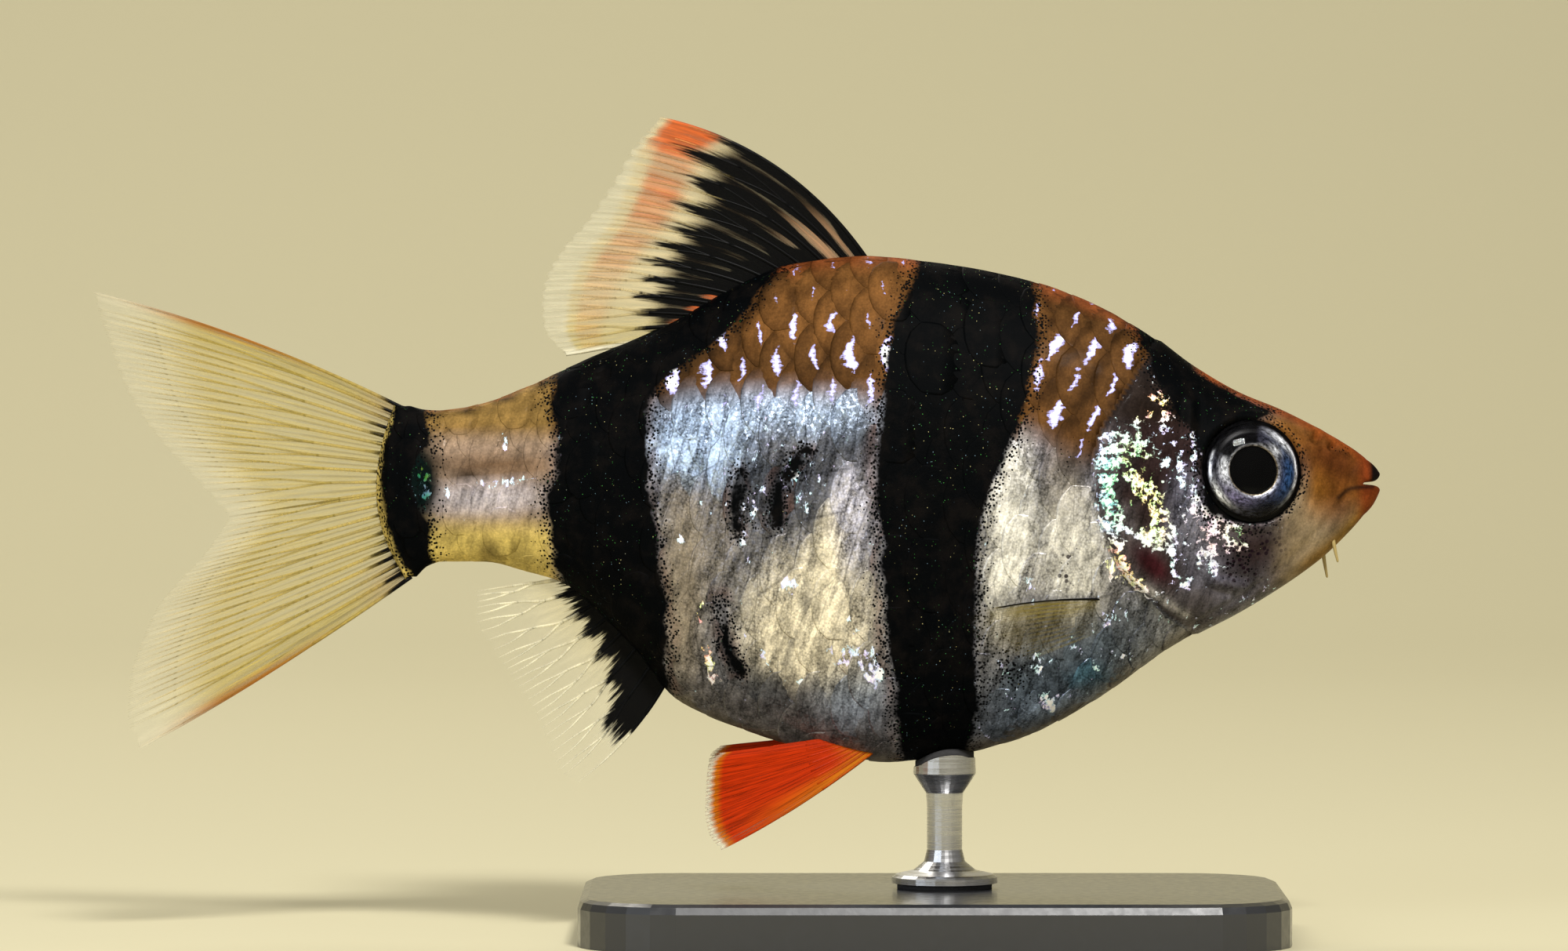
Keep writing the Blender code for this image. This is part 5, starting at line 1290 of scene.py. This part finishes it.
def ray_paths(fin):
    """Start, end and sideways drift of every tube: a trunk, then pairs, by rounds of splits."""
    gap, splits = 1.0 / (fin["rays"] - 1), fin["splits"]
    breaks = [0.0] + [FIRST_SPLIT[splits] + NEXT_SPLIT * k for k in range(splits)] + [1.0]
    tubes = []
    for k in range(fin["rays"]):
        branches = [[k * gap * 0.985 + 0.0075]]
        ways = (0,) if k == 0 else (-1, 1)
        for level in range(len(breaks) - 1):
            low, high = breaks[level], breaks[level + 1] + 0.01
            for branch in branches:
                tubes.append((branch, low, high, level))
            shift = gap * 0.25 * 0.5 ** level
            branches = [b + [way * shift] for b in branches for way in ways]
    return tubes, breaks

def rays(name, fin, side, label):
    """Tubes of six sides: a circle carried along each path, shrinking toward the margin."""
    tubes, breaks = ray_paths(fin)
    low = np.array([tube[1] for tube in tubes])[:, None]
    high = np.array([tube[2] for tube in tubes])[:, None]
    level = np.array([tube[3] for tube in tubes])[:, None]
    s = low + (np.minimum(high, 1.0) - low) * np.linspace(0, 1, RAY_STEPS)[None, :]
    t = np.zeros_like(s)
    for step in range(len(breaks) - 1):
        drift = np.array([tube[0][step] if len(tube[0]) > step else 0.0 for tube in tubes])[:, None]
        t += drift * (ease((s - breaks[step] + 0.02) / 0.3) if step else 1.0)
    t = np.clip(t, 0.001, 0.999)
    middle = fin_place(fin, t, s, side)
    nudge = fin_place(fin, np.clip(t + 0.01, 0, 1.01), s, side) - fin_place(fin, t - 0.01, s, side)
    ahead = np.gradient(middle, axis=1)
    out = unit(np.cross(ahead, unit(nudge)))
    across = unit(np.cross(out, ahead))
    thick = fin["ray"] * 0.66 ** level * (1 - 0.25 * (s - low) / np.maximum(high - low, 1e-6))
    thick = (thick * (1 - 0.55 * ease((s - 0.85) / 0.15)))[..., None, None]
    a = full_turn(RAY_SIDES)[None, None, :, None]
    points = middle[:, :, None] + thick * (np.cos(a) * across[:, :, None] + np.sin(a) * out[:, :, None])
    ring = quads(RAY_STEPS, RAY_SIDES, around=True)
    first = np.arange(len(tubes)) * RAY_STEPS * RAY_SIDES
    faces = (ring[None] + first[:, None, None]).reshape(-1, 4)
    start = first[:, None] + np.arange(RAY_SIDES)
    ends = np.concatenate([start[:, ::-1], start + (RAY_STEPS - 1) * RAY_SIDES])
    made = surface(label, points.reshape(-1, 3), [faces, ends], FIN)
    wide = [np.repeat(v[..., None], RAY_SIDES, axis=-1) for v in (t, s)]
    fin_finish(made, name, *wide, 1.0)
    turn_part = 0.002 * np.cos(np.broadcast_to(a[..., 0], wide[0].shape))
    home = np.stack([0.01 + 0.98 * wide[0] + turn_part, 0.01 + 0.98 * wide[1]], axis=-1)
    bake_map(made, home.reshape(-1, 2))
    return made

print("the dorsal fin's rays are", len(ray_paths(FINS["dorsal_fin"])[0]), "tubes")

# %% All the fins, eight pieces in all
for name, fin in FINS.items():
    sides = (("_left", 1), ("_right", -1)) if "lean" in fin else (("", 1),)
    for word, side in sides:
        sheet_piece = web(name, fin, side, name + word + "_web")
        bones = rays(name, fin, side, name + word + "_rays")
        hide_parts(name + word)
        print(name + word, len(sheet_piece.data.polygons), "web faces,", len(bones.data.polygons),
              "ray faces")

# %% [markdown]
# ## Eyes
#
# A barb's eye is a flat silver disc round a large black pupil, under a clear dome. The disc
# is a turned profile with its pupil set back, and the dome is a second turned surface of
# clear glass, so that real lights make the glint.

# %% Turned surfaces, placed along the line of sight
def gaze(side):
    """The matrix that carries an eye from the origin, looking up, to its place in the head."""
    turned = Vector((0, 0, 1)).rotation_difference(Vector(sight(side))).to_matrix().to_4x4()
    return Matrix.Translation((EYE_X, side * EYE_Y, EYE_Z)) @ turned

def turned_disc(name, profile, material, side, rings=60, around=128):
    """The profile (radius, height) read smoothly by its own steps, and carried round the line
    of sight. Each end is a pole closed with a fan. Gives the object, and each point's radius and
    place."""
    k = np.linspace(0, len(profile) - 1, rings + 2)[1:-1]
    radius, height = columns_at(profile, k[:, None])
    a = full_turn(around)[None, :]
    local = np.stack([radius * np.cos(a), radius * np.sin(a), height + 0 * a], axis=-1).reshape(-1, 3)
    local = np.concatenate([local, [[0, 0, profile[0][1]], [0, 0, profile[-1][1]]]])
    turn = np.array(gaze(side))
    points = local @ turn[:3, :3].T + turn[:3, 3]
    made = surface(name, points, turned_faces(rings, around), material)
    return made, np.append(np.repeat(radius, around, axis=1), [0.0, 0.0]), points

print("the right eye looks along", sight(-1).round(2))

# %% [markdown]
# The iris of a barb is foil again, cut by dark arcs, with bright arcs that are painted
# highlights. A plain silver ring would do, but the arcs are what makes the eye look alive, so
# they are washes over the radius and the angle.

# %% Paint for the iris, by radius and angle
PUPIL, IRIS = 1.24, 2.34
IRIS_GREY, IRIS_WHITE_AND_HIGHLIGHT, IRIS_BLUE = shade(64, 64, 78), shade(242, 245, 252), shade(42, 76, 122)
IRIS_GOLD, IRIS_BLACK, IRIS_LILAC = shade(170, 150, 104), shade(6, 6, 7), shade(126, 118, 148)

def iris_colour(radius, angle):
    """Grey silver with bright arcs before and behind the pupil, which are painted highlights, a
    blue arc in front, a gold inner rim, and the black of the first band above and below. out runs
    from the pupil to the rim."""
    out = (radius - PUPIL) / (IRIS - PUPIL)
    wash = Wash(radius.shape, IRIS_GREY, 0.75, 0.0)

    def arc(middle, width):
        return bell(np.angle(np.exp(1j * (angle - middle))), width)
    # Painted highlights: the white arcs stand for light caught by the silver iris; the faint ring next to
    # the pupil is its own paler colour.
    wash.lay(IRIS_WHITE_AND_HIGHLIGHT, bell(out - 0.10, 0.08) * 0.22, 0.5)
    wash.lay(IRIS_BLUE, arc(-0.15, 0.80) * bell(out - 0.58, 0.30) * 0.95, 0.5)
    wash.lay(IRIS_WHITE_AND_HIGHLIGHT, arc(0.80, 0.34) * bell(out - 0.82, 0.16), 0.30)
    wash.lay(IRIS_WHITE_AND_HIGHLIGHT, arc(0.72, 0.22) * bell(out - 0.30, 0.16) * 0.85, 0.35)
    wash.lay(IRIS_WHITE_AND_HIGHLIGHT, arc(0.10, 0.75) * bell(out - 0.93, 0.07), 0.30)
    wash.lay(IRIS_WHITE_AND_HIGHLIGHT, arc(3.10, 0.60) * bell(out - 0.28, 0.24), 0.30)
    wash.lay(IRIS_BLACK, arc(3.05, 0.62) * bell(out - 0.70, 0.09) * 0.95, 0.3)
    wash.lay(IRIS_WHITE_AND_HIGHLIGHT, arc(3.00, 0.42) * bell(out - 0.92, 0.06), 0.30)
    wash.lay(IRIS_WHITE_AND_HIGHLIGHT, arc(-2.55, 0.34) * bell(out - 0.84, 0.13) * 0.9, 0.30)
    wash.lay(IRIS_LILAC, arc(-2.2, 0.55) * bell(out - 0.40, 0.26) * 0.8, 0.5)
    wash.lay(IRIS_BLACK, arc(-1.25, 0.62) * ease((out - 0.18) / 0.40) * 0.93, 0.15)
    wash.lay(IRIS_BLACK, ease((arc(2.05, 0.72) - 0.30) / 0.25) * ease((out - 0.06) / 0.10) * 0.98, 0.1)
    wash.lay(IRIS_GOLD, bell(out - 0.02, 0.03) * (1 - 0.85 * arc(2.1, 0.9)) * 0.7, 0.6)
    wash.lay(IRIS_BLACK, ease((out - 0.95) / 0.12), 0.05)
    wash.lay(shade(2, 2, 2), ease((PUPIL - radius) / 0.05 + 0.5), 0.0)
    return wash.colour, wash.shine

print("the iris runs from", PUPIL, "to", IRIS, "mm")

# %% A plain finish, and the iris on top of one
def plain_look(name, colour, rough, metallic, **sockets):
    """A Principled finish; any other socket is named with _ for a space."""
    look, _, shader = new_look(name)
    shader.inputs["Base Color"].default_value = (*colour, 1.0)
    shader.inputs["Roughness"].default_value = rough
    shader.inputs["Metallic"].default_value = metallic
    for key, value in sockets.items():
        shader.inputs[key.replace("_", " ")].default_value = value
    return look

IRIS_LOOK = plain_look("iris", (0.5, 0.5, 0.5), 0.3, 0.0)
tree = IRIS_LOOK.node_tree
lie = attribute_of(tree, "lie")["Vector"]
rings = stretch(tree, lie, (6.0, 4.5, 4.5))
threads = noise(tree, rings, 1.6, 7.0, Roughness=0.65)
silver = attribute_of(tree, "ground")["Color"]
uneven = ramp(tree, threads, 0.34, 0.66, 0.12, 1.5)
toned = put(tree, "HueSaturation", {"Color": silver, "Value": uneven}).outputs[0]
shader = tree.nodes["Principled BSDF"]
metal = attribute_of(tree, "shine")["Fac"]
tree.links.new(toned, shader.inputs["Base Color"])
tree.links.new(metal, shader.inputs["Metallic"])
relief_of_iris = calc(tree, "MULTIPLY", threads, metal)
lift = put(tree, "Bump", {"Height": relief_of_iris, "Strength": 0.4, "Distance": 0.00004}).outputs[0]
tree.links.new(lift, shader.inputs["Normal"])
shader.inputs["Specular IOR Level"].default_value = 0.05
print("iris finish has", len(tree.nodes), "nodes")

# %% Clear dome: it shows what is behind it, and mirrors more toward its edge
DOME_LOOK = bpy.data.materials.new("clear dome")
DOME_LOOK.use_nodes = True
tree = DOME_LOOK.node_tree
tree.nodes.remove(tree.nodes["Principled BSDF"])
clear = put(tree, "BsdfTransparent")
gloss = put(tree, "BsdfGlossy", {"Roughness": 0.03})
facing = put(tree, "Fresnel", {"IOR": 1.16})
mixed = put(tree, "MixShader", {0: facing.outputs[0], 1: clear.outputs[0], 2: gloss.outputs[0]})
tree.links.new(mixed.outputs[0], tree.nodes["Material Output"].inputs["Surface"])
print("dome finish:", DOME_LOOK.name)

# %% Both eyes
EYE_DISC = ((0.0, 0.02), (0.4, 0.01), (0.8, 0.0), (1.19, -0.01), (1.26, 0.06), (1.55, 0.11),
            (1.85, 0.11), (2.1, 0.05), (2.30, -0.06), (2.42, -0.16), (2.64, -0.34), (2.72, -0.9),
            (2.3, -1.3), (0.0, -1.45))
EYE_DOME = ((0.0, 0.52), (0.5, 0.50), (0.9, 0.46), (1.6, 0.31), (2.1, 0.12), (2.42, -0.12), (2.5, -0.4),
            (1.2, -0.55), (0.0, -0.6))
for word, side in (("left", 1), ("right", -1)):
    ball, radius, point = turned_disc("eyeball_" + word, EYE_DISC, IRIS_LOOK, side, rings=90)
    angle = np.arctan2(point[:, 2] - EYE_Z, point[:, 0] - EYE_X)
    colour, shine = iris_colour(radius, angle)
    attribute(ball, "ground", colour)
    attribute(ball, "shine", shine)
    attribute(ball, "lie", np.stack([radius, np.cos(angle), np.sin(angle)], axis=-1))
    dome, _, _ = turned_disc("eye_dome_" + word, EYE_DOME, DOME_LOOK, side, rings=40)
    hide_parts("eye_" + word)
print("eyes at", EYE_X, EYE_Z)

# %% [markdown]
# ## Barbels
#
# Short feelers hang below the lower jaw, where the fish tastes the ground. A curve with a bevel
# would do, but a tube worked out round a smooth line tapers to its own tip. Each is rooted
# inside the flesh.

# %% Barbels
BARBELS = {1: ((29.90, 0.50, 20.0), (29.98, 0.62, 19.3), (30.06, 0.66, 18.8), (30.16, 0.68, 18.25)),
           -1: ((30.32, -0.70, 20.5), (30.42, -0.80, 20.0), (30.50, -0.84, 19.6), (30.62, -0.86, 19.1))}
BARBEL_STEPS, BARBEL_AROUND = 40, 16
BARBEL_LOOK = plain_look("barbel skin", shade(158, 138, 84), 0.4, 0.0, Coat_Weight=0.1)
for side, line in BARBELS.items():
    k = np.linspace(0, 3, BARBEL_STEPS)
    path = np.stack(columns_at(line, k), axis=-1)
    ahead = unit(np.gradient(path, axis=0))
    first = unit(np.cross(ahead, (1.0, 0.0, 0.0)))
    second = np.cross(ahead, first)
    a = full_turn(BARBEL_AROUND)[None, :, None]
    taper = np.interp(k, (0, 2.9, 3), (0.12, 0.06, 0.015))[:, None, None]
    points = path[:, None] + taper * (np.cos(a) * first[:, None] + np.sin(a) * second[:, None])
    ring = np.arange(BARBEL_AROUND)[None, :]
    faces = [quads(BARBEL_STEPS, BARBEL_AROUND, around=True), ring[:, ::-1],
             ring + (BARBEL_STEPS - 1) * BARBEL_AROUND]
    barbel = surface("barbel_" + ("left" if side > 0 else "right"), points.reshape(-1, 3), faces,
                     BARBEL_LOOK)
print("barbels", round(float(np.linalg.norm(np.diff(path, axis=0), axis=-1).sum()), 2), "mm long")

# %% [markdown]
# ## Stand
#
# The fish swims in the photograph, so the model is held on a plain stand: a dark enamelled
# slab and a turned steel rod. Their solids are already right and only need a finish. Thin
# felt pads fill the clearances under the belly and under the rod's foot.

# %% Stand finishes
STEEL = plain_look("satin steel", (0.56, 0.56, 0.57), 0.28, 1.0)
tree = STEEL.node_tree
turned = stretch(tree, millimetres(tree), (0.2, 0.2, 14.0))
lathe = noise(tree, turned, 1.0, 3.0)
tree.links.new(ramp(tree, lathe, 0.3, 0.7, 0.22, 0.36), tree.nodes["Principled BSDF"].inputs["Roughness"])
ENAMEL = plain_look("dark enamel", (0.022, 0.023, 0.026), 0.32, 0.0, Coat_Weight=0.5, Coat_Roughness=0.12)
tree = ENAMEL.node_tree
grain = noise(tree, millimetres(tree), 2.4, 5.0)
tree.links.new(ramp(tree, grain, 0.3, 0.7, 0.28, 0.40), tree.nodes["Principled BSDF"].inputs["Roughness"])
tree.links.new(put(tree, "Bump", {"Height": grain, "Strength": 0.12, "Distance": 0.00003}).outputs[0],
               tree.nodes["Principled BSDF"].inputs["Normal"])
for node, look in (("stand_base", ENAMEL), ("stand_rod", STEEL)):
    solid = bpy.data.objects[node]
    solid.data.materials.clear()
    solid.data.materials.append(look)

# %% Felt pads: one under the rod's foot, and one that follows the belly over the rod
FELT = plain_look("dark felt", shade(38, 38, 40), 0.95, 0.0)
tree = FELT.node_tree
fuzz = noise(tree, millimetres(tree), 9.0, 4.0)
tree.links.new(blend(tree, fuzz, shade(24, 24, 26), shade(58, 57, 58)),
               tree.nodes["Principled BSDF"].inputs["Base Color"])
ROD_X, PAD_RINGS, PAD_AROUND, PAD_PRESS = 10.6, 10, 64, 0.06

def pad(name, radius, top, thickness):
    """A disc whose upper face follows top(x, y) and whose lower face lies a thickness below."""
    r = np.linspace(0.1, 1.0, PAD_RINGS)[:, None] * radius
    a = full_turn(PAD_AROUND)[None, :]
    x, y = ROD_X + r * np.cos(a), r * np.sin(a)
    upper = np.stack([x, y, top(x, y)], axis=-1)
    lower = (upper - np.array([0, 0, thickness]))[::-1]
    middle = np.array([[ROD_X, 0, top(ROD_X, 0.0)], [ROD_X, 0, top(ROD_X, 0.0) - thickness]])
    points = np.concatenate([upper.reshape(-1, 3), lower.reshape(-1, 3), middle])
    made = surface(name, points, turned_faces(2 * PAD_RINGS, PAD_AROUND), FELT)

def belly_height(x, y):
    """Height of the belly over (x, y): midline minus depth times (1 - |y / w|^n)^(1/n), and a
    little more, so that the felt is pressed into the skin."""
    part = np.clip(1 - np.abs(y / smooth(WIDTH, x)) ** BELLY_FULLNESS, 0, 1)
    middle = smooth(MIDLINE, x)
    return middle - (middle - smooth(BELLY, x)) * part ** (1 / BELLY_FULLNESS) + PAD_PRESS

pad("stand_foot_felt", 2.42, lambda x, y: 2.74 + 0 * x + 0 * y, 0.36)
pad("stand_belly_felt", 1.5, belly_height, 0.42)
print("belly over the rod at", round(float(belly_height(ROD_X, 0.0)), 2), "mm")

# %% [markdown]
# ## Studio
#
# A pale seamless sweep, a large soft light above and before the fish, a fill and a light from
# behind that shows through the fins. The long lens stands level with the fish, as in the
# photograph. The sweep is clear when seen from its back, so the fish can be looked at from
# behind too, while its front stays solid paper.

# %% Floor sweep
SWEEP = plain_look("paper sweep", shade(194, 187, 154), 0.9, 0.0)
tree = SWEEP.node_tree
behind = put(tree, "NewGeometry").outputs["Backfacing"]
paper, clear = tree.nodes["Principled BSDF"].outputs[0], put(tree, "BsdfTransparent").outputs[0]
mixed = put(tree, "MixShader", {0: behind, 1: paper, 2: clear}).outputs[0]
tree.links.new(mixed, tree.nodes["Material Output"].inputs["Surface"])
SWEEP_STEPS, SWEEP_FRONT, SWEEP_BEND, BEND_RADIUS, SWEEP_HALF = 60, -900, 300, 260, 1500.0
BEND_FROM, BEND_SHARE, WALL_RISE, BELOW_BASE = 0.5, 0.2, 3000, 0.02
run = np.linspace(0, 1, SWEEP_STEPS)
floor = run < BEND_FROM
bend = np.clip(run - BEND_FROM, 0, BEND_SHARE) / BEND_SHARE * math.pi / 2
profile_y = np.where(floor, SWEEP_FRONT + (SWEEP_BEND - SWEEP_FRONT) * run / BEND_FROM,
                     SWEEP_BEND + BEND_RADIUS * np.sin(bend))
wall = np.clip(run - BEND_FROM - BEND_SHARE, 0, 1) * WALL_RISE
profile_z = np.where(floor, 0.0, BEND_RADIUS * (1 - np.cos(bend)) + wall)
across = np.array([-SWEEP_HALF, SWEEP_HALF])
grid = np.stack([np.broadcast_to(across[None, :], (SWEEP_STEPS, 2)), np.repeat(profile_y[:, None], 2, 1),
                 np.repeat(profile_z[:, None], 2, 1) - BELOW_BASE], axis=-1)
sweep = surface("paper_sweep", grid.reshape(-1, 3), [quads(SWEEP_STEPS, 2)], SWEEP, ride=None)
print("the sweep rises to", round(float(profile_z.max())), "mm behind the fish")

# %% Lights
def softbox(name, place, aim, size, power, colour):
    """A rectangular area light at a place, turned to its aim."""
    lamp = bpy.data.lights.new(name, "AREA")
    lamp.shape, lamp.size, lamp.size_y = "RECTANGLE", size[0], size[1]
    lamp.energy, lamp.color = power, colour
    made = bpy.data.objects.new(name, lamp)
    made.location = place
    made.rotation_euler = (Vector(aim) - Vector(place)).to_track_quat("-Z", "Y").to_euler()
    bpy.context.scene.collection.objects.link(made)
    return made

TARGET = (0.0024, 0.0, 0.0235)
softbox("key", (0.10, -0.34, 0.36), TARGET, (0.10, 0.07), 2.9, (1.0, 0.98, 0.95))
softbox("fill", (-0.34, -0.34, 0.16), TARGET, (0.16, 0.20), 0.6, (0.82, 0.90, 1.0))
softbox("rim", (-0.15, 0.30, 0.40), TARGET, (0.40, 0.20), 1.6, (1.0, 0.96, 0.88))
world = bpy.data.worlds.new("studio")
world.use_nodes = True
world.node_tree.nodes["Background"].inputs[0].default_value = (1.0, 0.96, 0.88, 1.0)
world.node_tree.nodes["Background"].inputs[1].default_value = 0.22
bpy.context.scene.world = world

# %% Camera
ELEVATION, DISTANCE = math.radians(1.6), 0.5
camera = bpy.data.objects.new("camera", bpy.data.cameras.new("camera"))
camera.data.sensor_width, camera.data.lens = 36.0, 36.0 * DISTANCE / 0.080
camera.data.clip_start, camera.data.clip_end = 0.01, 20.0
camera.location = (TARGET[0], -DISTANCE * math.cos(ELEVATION), TARGET[2] + DISTANCE * math.sin(ELEVATION))
camera.rotation_euler = (math.pi / 2 - ELEVATION, 0.0, 0.0)
bpy.context.scene.collection.objects.link(camera)
bpy.context.scene.camera = camera
bpy.context.scene.view_settings.view_transform = "Standard"
print("camera at", tuple(round(v, 3) for v in camera.location))
